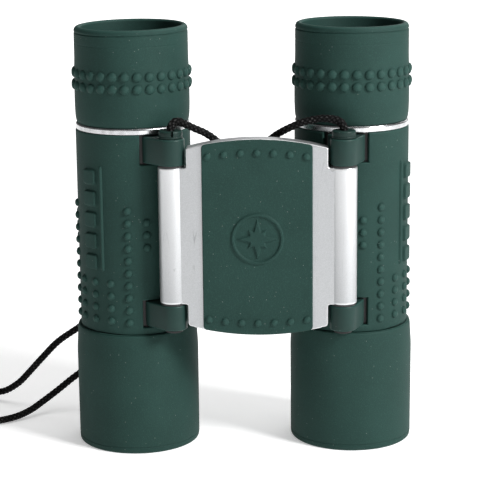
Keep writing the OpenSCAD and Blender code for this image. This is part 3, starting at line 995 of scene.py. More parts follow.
@dataclass
class NeckCord:
    """The braided neck cord: from one lug, behind the left tube, through the coil and back.

    The routes of the two strands are given in the bridge's axes, from the lugs to the coil. The
    coil winds inwards on the floor and outwards again on top of itself.
    """

    place: Place
    diameter: float = 2.0
    carriers: int = BRAID.carriers
    columns: int = 24
    step: float = 0.27
    groove: float = 0.2
    path_step: int = 6
    coil_centre: Pair = (-92.0, 34.0)
    coil_outer: float = 14.0
    coil_inner: float = 8.0
    half_turns: int = 15
    left_route: tuple[Triple, ...] = (
        (-21.9, 0, 85.3), (-21.9, 0, 86.8), (-21.3, 0.4, 88.1), (-20.1, 0.8, 88.6),
        (-18.3, 1.2, 87.9), (-15.8, 2, 86.6), (-13.6, 2.7, 85.5), (-11.5, 3.1, 84.1),
        (-9.4, 3.9, 82.2), (-6.8, 5.4, 79.6), (-4, 8, 76.2), (-1.8, 11.4, 72.4),
        (-0.4, 15, 68.6), (0, 19, 64.4), (0, 24, 59), (-0.8, 29, 53.4), (-3.4, 33.6, 47.8),
        (-8, 36.8, 42.4), (-14, 38.4, 37.2), (-21, 39.2, 32), (-28.5, 39.6, 26.8),
        (-36, 39.7, 21.6), (-43.5, 39.6, 16.4), (-49.6, 39.2, 12.2), (-54.2, 38.2, 9.1),
        (-58.5, 36, 6), (-62.4, 32.9, 3.6), (-65.4, 29.8, 2.1), (-69, 26.6, 1.2),
        (-74, 23.2, 1), (-80, 20.9, 1), (-86, 20, 1), (-92, 20, 1),
    )
    right_route: tuple[Triple, ...] = (
        (21.9, 0, 85.3), (21.9, 0, 86.8), (21.3, 0.3, 88.1), (20.2, 0.5, 88.8),
        (18.4, 0.8, 89.2), (15.9, 1.4, 89.2), (12.1, 2.2, 88.3), (8.8, 3, 86.9),
        (6.2, 4.4, 85.4), (4.1, 6.2, 83.8), (2.2, 8.8, 81.7), (0.8, 12, 79.1), (0, 16, 75.6),
        (0, 20, 71.8), (0, 24, 67.8), (-0.8, 29, 62.8), (-3.2, 34, 57.8), (-7.8, 37.8, 53.2),
        (-13.8, 39.8, 48.8), (-20.8, 40.8, 44.4), (-28.4, 41.2, 39.8), (-36.2, 41.1, 34.8),
        (-44.4, 40.3, 29.2), (-52.3, 39.2, 23.7), (-58.5, 39.5, 19.3), (-63.4, 40, 14.2),
        (-67.2, 41, 9.9), (-70.9, 42.2, 6), (-75.6, 43.9, 3), (-80.6, 45.8, 2.4),
        (-86, 47.4, 2.7), (-92, 48, 3),
    )

    def coil(self) -> Array:
        """The coil's points: a spiral in on the lower layer, one bend up, a spiral out above.

        At turn t the radius falls from the outer to the inner one and rises again, and the
        angle goes clockwise seen from above, from the front tangent to the back one.
        """
        t = np.linspace(0, 1, self.half_turns * 9 + 1)[1:-1]
        radius = self.coil_inner + (self.coil_outer - self.coil_inner) * np.abs(1 - 2 * t)
        angle = -math.pi / 2 - t * math.pi * self.half_turns
        share = np.clip((t - 0.46) / 0.08, 0, 1)
        height = 1 + 2 * share * share * (3 - 2 * share)
        x = self.coil_centre[0] + radius * np.cos(angle)
        y = self.coil_centre[1] + radius * np.sin(angle)
        return np.column_stack([x, y, height])

    def route(self) -> Array:
        """All points of the cord, from the left lug to the right one."""
        return np.vstack([np.array(self.left_route), self.coil(), np.array(self.right_route)[::-1]])

    def smooth(self) -> Array:
        """Even points along a smooth curve through the route.

        Between two points the curve is the cubic whose slopes there are half the step between
        the neighbours; the result is read off again at even lengths.
        """
        knots = self.route()
        ends = np.vstack([2 * knots[0] - knots[1], knots, 2 * knots[-1] - knots[-2]])
        p0, p1, p2, p3 = (ends[i:len(ends) - 3 + i, None, :] for i in range(4))
        t = np.linspace(0, 1, 24, endpoint=False)[None, :, None]
        curve = 0.5 * (2 * p1 + (p2 - p0) * t + (2 * p0 - 5 * p1 + 4 * p2 - p3) * t ** 2
                       + (3 * p1 - p0 - 3 * p2 + p3) * t ** 3)
        fine = np.vstack([curve.reshape(-1, 3), knots[-1:]])
        length = np.concatenate([[0], np.cumsum(np.linalg.norm(np.diff(fine, axis=0), axis=1))])
        even = np.linspace(0, length[-1], int(length[-1] / self.step) + 1)
        return np.column_stack([np.interp(even, length, fine[:, i]) for i in range(3)])

    def relief(self, around: Array, along: Array) -> Array:
        """Height of the braid from nought to one: strands of both families, over and under."""
        rising, falling = (around + along) * self.carriers, (around - along) * self.carriers
        turn = (np.floor(rising) + np.floor(falling)) % 2
        across, length = np.where(turn > 0, (rising % 1, falling % 1), (falling % 1, rising % 1))
        side, end = np.abs(across - 0.5) * 2, np.abs(length - 0.5) * 2
        return (1 - side ** 2) * (1 - 0.6 * end ** 2)

    def make(self) -> None:
        """The tube's point at angle a is the centre plus the radius times cos a along one side
        direction and sin a along the other; both stand square to the path and to a fixed
        leaning direction, which no part of the path follows. Near its ends the braid is loosened.
        """
        centre = self.smooth()
        ahead = np.gradient(centre, axis=0)
        ahead /= np.linalg.norm(ahead, axis=1, keepdims=True)
        first = np.cross(ahead, np.array([0.0, 1.0, 0.5]))
        first /= np.linalg.norm(first, axis=1, keepdims=True)
        second = np.cross(first, ahead)
        length = np.concatenate([[0], np.cumsum(np.linalg.norm(np.diff(centre, axis=0), axis=1))])
        total = length[-1]
        around = np.arange(self.columns) / self.columns
        along = length / (math.pi * self.diameter)
        dip = 1 - self.relief(around[None, :], along[:, None])
        from_end = np.minimum(length, total - length)
        loose = np.exp(-((from_end - 4.2) / 2.0) ** 2)[:, None]
        radius = self.diameter / 2 - self.groove * dip * (1 + 0.6 * loose)
        way = 2 * math.pi * around[None, :]
        wide, flat = radius * (1 + 0.32 * loose), radius * (1 - 0.12 * loose)
        grid = (centre[:, None, :] + (wide * np.cos(way))[..., None] * first[:, None, :]
                + (flat * np.sin(way))[..., None] * second[:, None, :])
        shell = Shell()
        index = shell.add(grid)
        shell.skin(index)
        shell.fan(tuple(centre[0]), index[0])
        shell.fan(tuple(centre[-1]), index[-1])
        obj = shell.build("neck_cord", self.place, sharp=180.0)
        self.chart(obj, len(centre), along)
        stops = np.unique(np.append(np.arange(0, len(centre), self.path_step), len(centre) - 1))
        path = self.place.put(centre[stops])
        exit_point = self.place.put(np.array([self.left_route[0]]))[0]
        self.diameter * MM
        nodes = ("cord_left_run", "cord_right_run", "cord_coil")
        Piece("neck_cord", "bridge", BRAID, nodes, obj).settle()
        LOG.info("neck cord is %.0f mm long", total)

    def chart(self, obj: bpy.types.Object, rings: int, along: Array) -> None:
        """Store the UV map: once round in U, circumferences in V, with no jump at the seam.

        Args:
            obj: The cord's object.
            rings: How many rings it has.
            along: Each ring's length from the start, in circumferences.
        """
        mesh = obj.data
        loops = np.empty(len(mesh.loops), np.int32)
        mesh.loops.foreach_get("vertex_index", loops)
        starts = np.empty(len(mesh.polygons), np.int32)
        mesh.polygons.foreach_get("loop_start", starts)
        totals = np.diff(np.append(starts, len(loops)))
        tip = loops >= rings * self.columns
        ring, column = np.where(tip, 0, loops // self.columns), loops % self.columns
        last = loops == rings * self.columns + 1
        ring = np.where(last, rings - 1, ring)
        highest = np.repeat(np.maximum.reduceat(np.where(tip, 0, column), starts), totals)
        at_seam = (column == 0) & (highest == self.columns - 1) & ~tip
        column = np.where(at_seam, self.columns, column)
        chart = np.column_stack([column / self.columns, along[ring]]).astype(np.float32)
        mesh.uv_layers.new(name="braid").data.foreach_set("uv", chart.ravel())


# ---- One tube ----


def lens_profile(radius: float, low: Pair, high: Pair, steps: int) -> Array:
    """Profile of a lens, each face at its edge's height plus its rise times one less share^2.

    Args:
        radius: The lens's radius.
        low: The lower face's height at the edge, and its rise from there to the middle.
        high: The same for the upper face.
        steps: Points of each face.

    Returns:
        Radius and height of each point, from the lower middle to the upper one.
    """
    share = np.linspace(0, 1, steps)
    faces = [np.column_stack([radius * share, edge + rise * (1 - share ** 2)])
             for edge, rise in (low, high)]
    return np.vstack([faces[0], faces[1][::-1]])


def spanner_slots(half: float, low: float = -math.inf, high: float = math.inf) -> Change:
    """Two slots in a ring's face, on opposite sides.

    Args:
        half: Half of a slot's width in degrees.
        low: The slots' floor where they are cut from below.
        high: Their floor where they are cut from above.

    Returns:
        The change of shape that cuts them.
    """
    def cut(radius: Array, height: Array, angle: Array) -> tuple[Array, Array, Array]:
        """Bring the points in a slot to its floor."""
        slot = np.abs((angle + 90) % 180 - 90) < half
        return radius, np.where(slot, np.clip(height, low, high), height), angle

    return cut


@dataclass
class TubePart:
    """A sub-assembly of one tube."""

    side: Side
    place: Place

    def own(self, both: Pair) -> float:
        """This side's number of the left one and the right one."""
        return both[self.side is Side.RIGHT]

    def hand_over(self, shell: Shell, name: str, node: str, finish: Finish, body: str = "") -> None:
        """Build a shell as this side's piece.

        Args:
            shell: The piece's shape.
            name: Its name, without the side.
            node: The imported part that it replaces.
            finish: What it is made of.
            body: What it rides on, if not the tube.
        """
        name = self.side.node(name)
        Piece(name, body or self.side.tube, finish, (self.side.node(node),),
              shell.build(name, self.place)).settle()

    def turn(self, name: str, node: str, finish: Finish, profile: Array, columns: Array | int,
             body: str = "", **changes: Callable) -> None:
        """Build a piece by turning a profile about the tube's axis.

        Args:
            name: The piece's name, without the side.
            node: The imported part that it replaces.
            finish: What it is made of.
            profile: Radius and height of each point.
            columns: Angles in degrees, or how many.
            body: What it rides on, if not the tube.
            changes: The shape and rubbed functions of Shell.turned.
        """
        shell = Shell()
        shell.turned(profile, columns, **changes)
        self.hand_over(shell, name, node, finish, body)


@dataclass
class Armour(TubePart):
    """Rubber skin of a tube: nub columns, a bar and grip marks, and a window at each knuckle."""

    radius: float = 15.0
    bore: float = 13.82
    low: float = 32.4
    top: float = 84.9
    window_half: float = 23.0
    windows: tuple[Pair, ...] = ((34.2, 41.5), (77.2, 84.9))
    columns: tuple[tuple[float, int], ...] = (
        (62.2, 3), (65.3, 10), (45.8, 4), (45.8, 4), (45.8, 4), (65.3, 10), (62.2, 3),
    )
    first_column: float = 17.5
    column_pitch: float = 19.0
    nub: Nub = Nub(reach=1.07, height=0.8, half_wide=1.5, half_tall=1.65, cells=10)
    nub_pitch: float = 3.3
    row_top: float = 65.3
    row_count: int = 10
    bar_angle: float = 64.0
    bar_span: Pair = (49.3, 76.2)
    bar_proud: float = 0.5
    marks: Pair = (70.0, 86.0)
    first_mark: float = 51.2
    mark_count: int = 5
    mark_pitch: float = 5.6
    mark_half: float = 1.95
    mark_proud: float = 0.75
    edge: float = 0.35

    @property
    def arc(self) -> float:
        """Millimetres round the skin in one degree."""
        return math.radians(1) * self.radius

    @property
    def block(self) -> float:
        """Half of a nub block's width in degrees."""
        return self.nub.half_wide / self.arc

    @property
    def column_angles(self) -> list[float]:
        """Angle of each nub column."""
        return [self.first_column + i * self.column_pitch for i in range(len(self.columns))]

    def mould(self, angle: Array, height: Array) -> tuple[Array, Array, Array]:
        """Mould the nubs, column by column.

        The grid's rows are the same all round, so a column whose nubs stand a little higher
        shifts its rows up, and the shift fades out past its nubs.

        Args:
            angle: Angles of the grid's points.
            height: Their heights.

        Returns:
            Changed angles and heights, and how proud each point stands.
        """
        new_angle, new_height, bump = angle.copy(), height.copy(), np.zeros(angle.shape)
        for centre, (top, count) in zip(self.column_angles, self.columns):
            first = round((self.row_top - top) / self.nub_pitch)
            rise = top - self.row_top + first * self.nub_pitch
            u = (angle - centre) / self.block
            row = np.round((self.row_top - height) / self.nub_pitch)
            row = np.clip(row, first, first + count - 1)
            v = (height - self.row_top + row * self.nub_pitch) / self.nub.half_tall
            fade = np.clip(1.6 - 0.6 * np.abs(u), 0, 1) * np.clip(1.5 - 0.5 * np.abs(v), 0, 1)
            new_height += rise * fade
            x, y, lift = self.nub.press(u, v)
            inside = np.maximum(np.abs(u), np.abs(v)) < 1 + 1e-6
            new_angle = np.where(inside, centre + x / self.arc, new_angle)
            crest = self.row_top - row * self.nub_pitch + rise
            new_height = np.where(inside, crest + y, new_height)
            bump = np.where(inside, np.maximum(bump, lift), bump)
        return new_angle, new_height, bump

    def relief(self, angle: Array, height: Array) -> Array:
        """How proud the bar and the grip marks stand.

        The bar is a half round about its middle line, and each mark is a flat-topped rounded
        rectangle.
        """
        beyond = height - np.clip(height, *self.bar_span)
        bar_off = np.hypot((angle - self.bar_angle) * self.arc, beyond)
        bar = dome(bar_off, self.bar_proud, self.bar_proud)
        mid = sum(self.marks) / 2
        half = (self.marks[1] - self.marks[0]) / 2 * self.arc
        step = np.round((height - self.first_mark) / self.mark_pitch)
        step = np.clip(step, 0, self.mark_count - 1)
        nearest = self.first_mark + self.mark_pitch * step
        mark = box_distance((angle - mid) * self.arc, height - nearest, half, self.mark_half, 0.7)
        return np.maximum(bar, raised(mark, self.mark_proud, 0.34))

    def grid(self) -> tuple[Array, Array]:
        """Angles and heights of the grid lines, closest at the nubs and the windows' edges."""
        half = self.window_half
        blocks = [(c - self.block, c + self.block, 2 * self.block / self.nub.cells)
                  for c in self.column_angles]
        gaps = [(a[1], b[0], 1.8) for a, b in zip(blocks, blocks[1:])]
        angle = graded(
            (-180, -26, 3.6), (-26, -half, 0.75), (-half, -half + 4, 2),
            (-half + 4, blocks[0][0], 3), *blocks, *gaps, (blocks[-1][1], 180, 3.6), (61.9, 66.1, 0.3), (68.8, 71.2, 0.4),
            (84.8, 87.2, 0.4), (-half - 0.9, -half, 0.3), (half, half + 0.9, 0.3),
        )
        edges = [(z - 0.4, z + 0.4, 0.1) for z in (34.2, 41.5, 77.2)]
        marks = [(z + s - 0.24, z + s + 0.24, 0.16)
                 for z in self.first_mark + self.mark_pitch * np.arange(self.mark_count)
                 for s in (-self.mark_half, self.mark_half)]
        low = self.row_top + self.nub.half_tall - self.row_count * self.nub_pitch
        high = low + self.row_count * self.nub_pitch
        height = graded(
            (self.low, self.low + 0.3, 0.1), (self.low + 0.3, low, 0.4),
            (low, high, self.nub_pitch / self.nub.cells), (high, 77, 0.5), (77, 84.5, 0.8),
            (84.5, self.top, 0.1), *edges, *marks,
        )
        return angle[:-1], height

    def make(self) -> None:
        """Build the skin as an outer and an inner wall with the windows left open."""
        angle, height = self.grid()
        turn, level = np.meshgrid(angle, height)
        bump = self.relief(turn, level)
        wear_and_sheen = np.clip(bump / self.mark_proud, 0, 1) ** 2 * 0.4
        turn, level, nubs = self.mould(turn, level)
        # Nub crests get a paler colour: partly wear, partly a painted highlight.
        bump, wear_and_sheen = np.maximum(bump, nubs), np.maximum(wear_and_sheen, (nubs / self.nub.height) ** 2)
        beside = np.maximum(np.abs(turn) - self.window_half, 0) * self.arc
        gap = [np.hypot(beside, np.maximum(np.maximum(low - level, level - high), 0))
               for low, high in self.windows]
        edge_way = np.minimum.reduce([*gap, self.top - level, 0.15 + level - self.low])
        radius = self.radius + bump - eased_edge(edge_way, self.edge)
        wear_and_sheen = np.maximum(wear_and_sheen, 0.8 * (edge_way < self.edge))
        shell = Shell()
        outer = shell.add(self.wall(radius, turn, level), wear_and_sheen)
        inner = shell.add(self.wall(np.full(radius.shape, self.bore), turn, level))
        middle_turn = (np.append(angle[1:], 180) + angle) / 2
        middle_level = (height[1:] + height[:-1]) / 2
        inside = np.abs(middle_turn)[None, :] < self.window_half
        tall = np.logical_or.reduce([(middle_level > low) & (middle_level < high)
                                     for low, high in self.windows])
        self.cover(shell, outer, inner, ~(inside & tall[:, None]))
        self.hand_over(shell, "armour_skin", "armour", RUBBER)

    @staticmethod
    def wall(radius: Array, turn: Array, level: Array) -> Array:
        """Points on the tube: x = -r sin a, y = -r cos a."""
        way = np.radians(turn)
        return np.stack([-radius * np.sin(way), -radius * np.cos(way), level], axis=-1)

    @staticmethod
    def cover(shell: Shell, outer: Array, inner: Array, kept: Array) -> None:
        """Skin the kept cells on both walls, and join the walls where a kept cell ends.

        Args:
            shell: The shell to add to.
            outer: Point numbers of the outer wall.
            inner: Point numbers of the inner wall.
            kept: Which cells are rubber.
        """
        def cells(index: Array) -> tuple[Array, Array, Array, Array]:
            """The four corners of every cell, round the seam."""
            after = np.roll(index, -1, axis=1)
            return index[:-1], after[:-1], after[1:], index[1:]

        out, inn = cells(outer), cells(inner)
        for corners in (out, inn):
            shell.quads.append(np.stack([c[kept] for c in corners], axis=-1))
        empty = np.zeros((1, kept.shape[1]), bool)
        neighbours = (
            np.vstack([empty, kept[:-1]]), np.roll(kept, -1, axis=1),
            np.vstack([kept[1:], empty]), np.roll(kept, 1, axis=1),
        )
        for k, beyond in enumerate(neighbours):
            rim = kept & ~beyond
            after = (k + 1) % 4
            corners = (out[k], out[after], inn[after], inn[k])
            shell.quads.append(np.stack([c[rim] for c in corners], axis=-1))


@dataclass
class TubeBody(TubePart):
    """Hard tube with its ledge and the two knuckles that carry it on the hinge pin."""

    reach: float = 19.6
    knuckle_radius: float = 3.5
    pin_bore: float = 1.3
    arm_half: float = 3.0
    root_half: float = 4.65
    outer_root_half: float = 4.75
    root: float = 15.0
    sunk: float = 13.4
    spans: tuple[Pair, ...] = ((34.6, 41.2), (77.7, 84.5))

    def knuckle_outline(self) -> Array:
        """Outline from the knuckle's nose round the inner side, the root and the outer side.

        The nose is an arc of the knuckle's radius. The inner side is a narrow arm that flares at
        its root; the outer side runs straight from the arc, which it touches, to a wide root.
        """
        radius, centre = self.knuckle_radius, np.array([0.0, -self.reach])
        inner_end = math.pi - math.asin(self.arm_half / radius)
        root_x, root_y = self.outer_root_half, self.reach - self.root
        outer_end = math.atan2(root_x, -root_y) - math.acos(radius / math.hypot(root_x, root_y))
        turn = np.linspace(0, inner_end, 25)[:-1]
        inner_nose = np.column_stack([np.sin(turn), -np.cos(turn)]) * radius + centre
        turn = np.linspace(outer_end, 0, 15)[:-1]
        outer_nose = np.column_stack([-np.sin(turn), -np.cos(turn)]) * radius + centre
        inner_side = rounded([
            (self.arm_half, inner_nose[-1, 1], 0), (self.arm_half, -16.3, 0.5),
            (self.root_half, -15.1, 0.4), (self.root_half, -self.sunk, 0),
        ], 5, closed=False)[1:]
        steps = np.linspace(0, 1, 13)[:-1, None]
        outer_side = (1 - steps) * (-root_x, -self.root) + steps * outer_nose[0]
        buried = [[0.0, -self.sunk], [-root_x, -self.sunk]]
        return np.vstack([inner_nose, inner_side, buried, outer_side, outer_nose])

    def make(self) -> None:
        """Build the dark tube and the green knuckles."""
        self.turn("tube_wall", "barrel", BLACK_METAL, rounded([
            (13.6, 4, 0.1), (14.9, 4, 0.2), (14.9, 31.3, 0.2), (13.8, 31.3, 0), (13.8, 84.9, 0.15),
            (12.7, 84.9, 0.15), (12.7, 49, 0), (11.5, 49, 0), (11.5, 47.8, 0), (12.7, 47.8, 0),
            (12.7, 29.6, 0), (13.6, 29.6, 0),
        ], 3), 96)
        knuckles = Shell()
        outline = self.knuckle_outline()
        turn = np.linspace(0, 2 * math.pi, 48, endpoint=False)
        bore = np.column_stack([np.sin(turn), -np.cos(turn)]) * self.pin_bore - (0, self.reach)
        for low, high in self.spans:
            knuckles.slab(outline, low, high, 0.38, hole=bore)
        self.hand_over(knuckles, "knuckles", "barrel", PLASTIC)


@dataclass
class ObjectiveEnd(TubePart):
    """Rubber hood with the objective's retaining ring and front lens inside it."""

    hood_radius: float = 16.25

    def make(self) -> None:
        """Build the hood, the ring and the lens."""
        big = self.hood_radius
        self.turn("hood", "objective_hood", RUBBER, rounded([
            (13.3, 0, 0.35), (big - 0.15, 0, 0.55), (big - 0.02, 1.45, 0.2),
            (big - 0.16, 1.62, 0.08), (big - 0.03, 1.85, 0.15), (big - 0.02, 14, 0.9),
            (big, 25.6, 1.0), (big - 0.38, 31.7, 0.4), (big - 0.62, 32.3, 0.22), (14.92, 32.3, 0.14), (14.92, 4, 0.1), (13.3, 4, 0.1),
        ], 5), 160, rubbed=lambda r, z, a: np.where((z > 31.9) | (z < 0.5), 0.7, 0.0))
        self.turn("objective_ring", "objective_retainer", BLACK_METAL, rounded([
            (12.0, 8.8, 0.15), (12.56, 8.8, 0.1), (12.56, 12.05, 0.1), (12.0, 12.05, 0.1),
        ], 3), 144, shape=spanner_slots(2.6, low=9.5))
        self.turn("front_lens", "crown_lens", LENS_GLASS,
                  lens_profile(12.5, (12.2, -1.5), (14.4, 0.9), 15), 96)


@dataclass
class Eyepiece(TubePart):
    """Chrome collar, rubber focus sleeve and eyecup, and what is seen inside the cup."""

    nub: Nub = Nub(reach=1.27, height=0.8, half_wide=1.61, half_tall=1.57)
    nub_count: int = 29
    nub_rows: Pair = (96.58, 99.72)
    nub_phases: Pair = (11.32, 10.8)
    lip_drops: Pair = (0.38, 0.2)

    def make(self) -> None:
        """Build the collar, the sleeve, the nut, the retaining ring and the eye lens."""
        self.collar()
        self.sleeve()
        self.turn("cup_nut", "ring_nut", BLACK_METAL, rounded([
            (10.2, 101.05, 0.05), (12.84, 101.05, 0.05), (12.84, 103, 0.12), (11.3, 103, 0.1),
            (10.2, 102.2, 0.1),
        ], 3), 144, self.side.focus, shape=spanner_slots(4.0, high=102.2))
        self.turn("eye_ring", "eye_retainer", BLACK_METAL, rounded([
            (7.4, 97.2, 0.05), (8.4, 97.2, 0.05), (8.4, 100.7, 0.1), (8.05, 100.7, 0.1),
            (7.4, 98.6, 0.1),
        ], 3), 96, self.side.ocular)
        self.turn("rear_lens", "eye_lens", LENS_GLASS,
                  lens_profile(8.4, (94.6, -1.1), (97.0, 0.7), 13), 80, self.side.ocular)

    def collar(self) -> None:
        """Chrome ring with its plug below and the ridged neck above."""
        ridges = [(12.2 - 0.35 * (1 - k), 87.6 + i + 0.5 * k, 0.04)
                  for i in range(9) for k in (0, 1)]
        self.turn("chrome_collar", "collar", CHROME, rounded([
            (11.05, 79, 0.1), (12.67, 79, 0.15), (12.67, 84.92, 0), (14.7, 84.92, 0.1),
            (14.9, 85.15, 0.1), (14.9, 86.3, 0.2), (14.65, 86.6, 0.15), (11.85, 86.6, 0), *ridges, (11.85, 97, 0.1),
            (11.05, 97, 0.1),
        ], 4), 160)

    def sleeve(self) -> None:
        """Rubber sleeve: two rings of nubs, a waist, and the rounded lip with its crease."""
        phase = self.own(self.nub_phases)
        pitch = 360.0 / self.nub_count
        levels = np.array([86.7, 86.92, 87.5, 88.4, 91, 95, 101, 102.4, 104, 107, 110.7])
        radii = np.array([14.5, 14.64, 14.78, 14.9, 15, 15, 14.9, 14.84, 14.8, 14.8, 14.78])
        band_low = self.nub_rows[0] - self.nub.half_tall
        band_top = self.nub_rows[1] + self.nub.half_tall
        height = graded((86.7, 87.0, 0.1), (87.0, band_low, 0.6),
                        (band_low, band_top, self.nub.half_tall * 2 / self.nub.cells),
                        (band_top, 103, 0.3), (103, 106.9, 0.8), (106.9, 107.7, 0.1),
                        (107.7, 109.9, 0.6), (109.9, 110.7, 0.08))
        radius = np.interp(height, levels, radii)
        crease = 0.24 * np.exp(-((height - 110.35) / 0.17) ** 2)
        radius -= crease + 0.05 * np.exp(-((height - 107.3) / 0.16) ** 2)
        turn = np.linspace(0, math.pi / 2, 12)[1:]
        over = np.column_stack([13.75 + 1.02 * np.cos(turn), 110.75 + 1.25 * np.sin(turn)])
        under = np.column_stack([13.75 - 0.7 * np.sin(turn), 111.3 + 0.7 * np.cos(turn)])
        crown = np.vstack([over, under])
        inside = np.array([[12.98, 110.4], [12.92, 109], [12.9, 106], [12.9, 103.2], [13.4, 103.1],
                           [13.4, 86.8], [13.6, 86.7]])
        profile = np.vstack([np.column_stack([radius, height]), crown, inside])
        wall = len(height)

        def mould(level: Array, angle: Array) -> tuple[Array, Array, Array]:
            """Angle and height of the band's points with its nubs moulded, and their lift."""
            column = np.round((angle - phase) / pitch) * pitch + phase
            middle_row = np.where(level < sum(self.nub_rows) / 2, *self.nub_rows)
            u, v = (angle - column) / (pitch / 2), (level - middle_row) / self.nub.half_tall
            x, y, lift = self.nub.press(u, v)
            return column + x * (pitch / 2 / self.nub.half_wide), middle_row + y, lift

        def outer_band(level: Array) -> Array:
            """Which points lie on the outer wall within the nub band."""
            outer = (np.arange(level.shape[0]) < wall)[:, None]
            return outer & (level > band_low - 1e-6) & (level < band_top + 1e-6)

        def shape(radius: Array, level: Array, angle: Array) -> tuple[Array, Array, Array]:
            """Mould the nubs on the outer wall, and let the lip, sagged with wear, lean a little."""
            band = outer_band(level)
            new_angle, new_level, lift = mould(level, angle)
            share = np.clip((level - 104) / 8, 0, 1) ** 2
            lean = self.own(self.lip_drops) * (1 + 0.5 * np.cos(np.radians(angle - 75.0))) * share
            level, angle = np.where(band, new_level, level), np.where(band, new_angle, angle)
            return radius + band * lift, level - lean, angle

        def rubbed(radius: Array, level: Array, angle: Array) -> Array:
            """Crests of the nubs and the top of the lip, paler for wear and as a painted highlight."""
            crest = outer_band(level) * (mould(level, angle)[2] / self.nub.height) ** 2
            return np.maximum(crest, 0.9 * (level > 111.45))

        steps = np.arange(self.nub_count * self.nub.cells)
        columns = steps * pitch / self.nub.cells + phase - pitch / 2
        self.turn("eyecup_sleeve", "focus_sleeve", RUBBER, profile, columns, self.side.focus,
                  shape=shape, rubbed=rubbed)


# ---- Bridge ----


@dataclass
class Bridge:
    """Silver plate with a hinge barrel down each side, its rubber panel and its back cover."""

    place: Place
    hinge_x: float = 21.9
    front: float = -2.55
    back: float = 1.65
    half_width: float = 18.0
    top: float = 82.3
    low: float = 35.9
    arch: float = 2.35
    panel_half: float = 14.05
    panel_front: float = -3.15
    nub: Nub = Nub(reach=0.97, height=0.62, half_wide=1.2, half_tall=1.2)
    nub_pitch: float = 4.18
    panel_edge: float = 0.3
    screw_spots: tuple[Pair, ...] = ((-10.5, 43.0), (10.5, 43.0), (-10.5, 75.0), (10.5, 75.0))

    def bow(self, x: Array) -> Array:
        """How far an arched edge stands out at x: the arch times one less (x over half)^2."""
        return self.arch * (1 - (x / self.half_width) ** 2)

    def plate_outline(self) -> Array:
        """Outline from the middle of the top edge, clockwise, with rounded notches."""
        x = np.linspace(0, 1, 15)[:-1] * 17.0
        top = np.column_stack([x, self.top + self.bow(x)])
        right = rounded([
            (17.0, self.top + float(self.bow(np.array(17.0))), 0), (18.0, self.top, 0.45),
            (18.0, 77.2, 0.7), (self.hinge_x, 77.2, 0), (self.hinge_x, 41.6, 0), (18.0, 41.6, 0.7),
            (18.0, self.low, 0.9), (16.5, self.low - 0.25, 0),
        ], 6, closed=False)
        x = np.linspace(16.2, 0, 15)
        low = np.column_stack([x, self.low - self.bow(x)])
        half = np.vstack([top, right, low])
        return np.vstack([half, half[1:-1][::-1] * (-1, 1)])

    def plate(self) -> None:
        """Plate and its two hinge barrels."""
        shell = Shell()
        shell.slab(self.plate_outline(), self.front, self.back, 0.32, standing=True)
        for sign in (-1, 1):
            shell.turned(rounded([
                (1.27, 41.6, 0.05), (3.45, 41.6, 0.5), (3.45, 77.2, 0.3), (1.27, 77.2, 0.05),
            ], 5), 96, axis=(sign * self.hinge_x, 0.0),
                rubbed=lambda r, z, a: np.where((z > 76.8) | (z < 42.2), 0.8, 0.0))
        self.hand_over(shell, "bridge_casting", "bridge_plate", SILVER)

    def panel(self) -> None:
        """Rubber panel: heights over a grid that follows its arched, rounded outline."""
        half, corner, nub = self.panel_half, 0.8, self.nub
        reach = nub.half_wide
        blocks = [(c - reach, c + reach, 2 * reach / nub.cells)
                  for c in self.nub_pitch * np.arange(-3, 4)]
        gaps = [(a[1], b[0], 0.18) for a, b in zip(blocks, blocks[1:])]
        end = half - blocks[-1][1]
        x = graded((-half, end - half, 0.1), *blocks, *gaps, (half - end, half, 0.1))
        past = np.maximum(np.abs(x) - (half - corner), 0)
        cut = corner - np.sqrt(np.maximum(corner ** 2 - past ** 2, 0))
        high, low = self.top - 0.1 + self.bow(x) - cut, self.low + 0.1 - self.bow(x) + cut
        steps = (x / self.nub_pitch) ** 2
        rows = (36.8 + 0.11 * steps, 81.15 - 0.105 * steps)
        still = np.ones_like(x)
        knots = [low, rows[0] - nub.half_tall, rows[0] + nub.half_tall, 51.5 * still, 66.5 * still,
                 rows[1] - nub.half_tall, rows[1] + nub.half_tall, high]
        line = np.arange(len(knots))
        part = graded((0, 1, 0.1), (1, 2, 1 / nub.cells), (2, 3, 0.08), (3, 4, 0.0107),
                      (4, 5, 0.08), (5, 6, 1 / nub.cells), (6, 7, 0.1))
        level = np.stack([np.interp(part, line, spots) for spots in np.stack(knots, axis=1)],
                         axis=1)
        wide, share = np.meshgrid(x, part)
        rim = np.minimum.reduce([half - np.abs(wide), high - level, level - low])
        bump = self.emblem(wide, level)
        column = np.clip(np.round(wide / self.nub_pitch), -3, 3) * self.nub_pitch
        u, wear_and_sheen = (wide - column) / reach, 0.0
        for row, first in zip(rows, (1, 5)):
            v = 2 * (share - first) - 1
            inside = np.maximum(np.abs(u), np.abs(v)) < 1 + 1e-6
            across, up, lift = nub.press(u, v)
            wide = np.where(inside, column + across, wide)
            level = np.where(inside, row + up, level)
            bump = np.where(inside, lift, bump)
            # Nub crests get a paler colour: partly wear, partly a painted highlight.
            wear_and_sheen = np.maximum(wear_and_sheen, inside * (lift / nub.height) ** 2)
        depth = self.panel_front - bump + eased_edge(rim, self.panel_edge)
        shell = Shell()
        wear_and_sheen = np.maximum(wear_and_sheen, 0.5 * (rim < 0.2))
        index = shell.add(np.stack([wide, depth, level], axis=-1), wear_and_sheen)
        shell.skin(index, wrap_columns=False)
        ring = np.concatenate([index[0, :-1], index[:-1, -1], index[-1, :0:-1], index[:0:-1, 0]])
        edge = np.concatenate(shell.points)[ring]
        behind = shell.add(edge * (1, 0, 1) + (0, -1.6, 0))
        shell.skin(np.vstack([ring, behind]))
        shell.lid(behind)
        self.hand_over(shell, "bridge_rubber_panel", "bridge_panel", RUBBER)

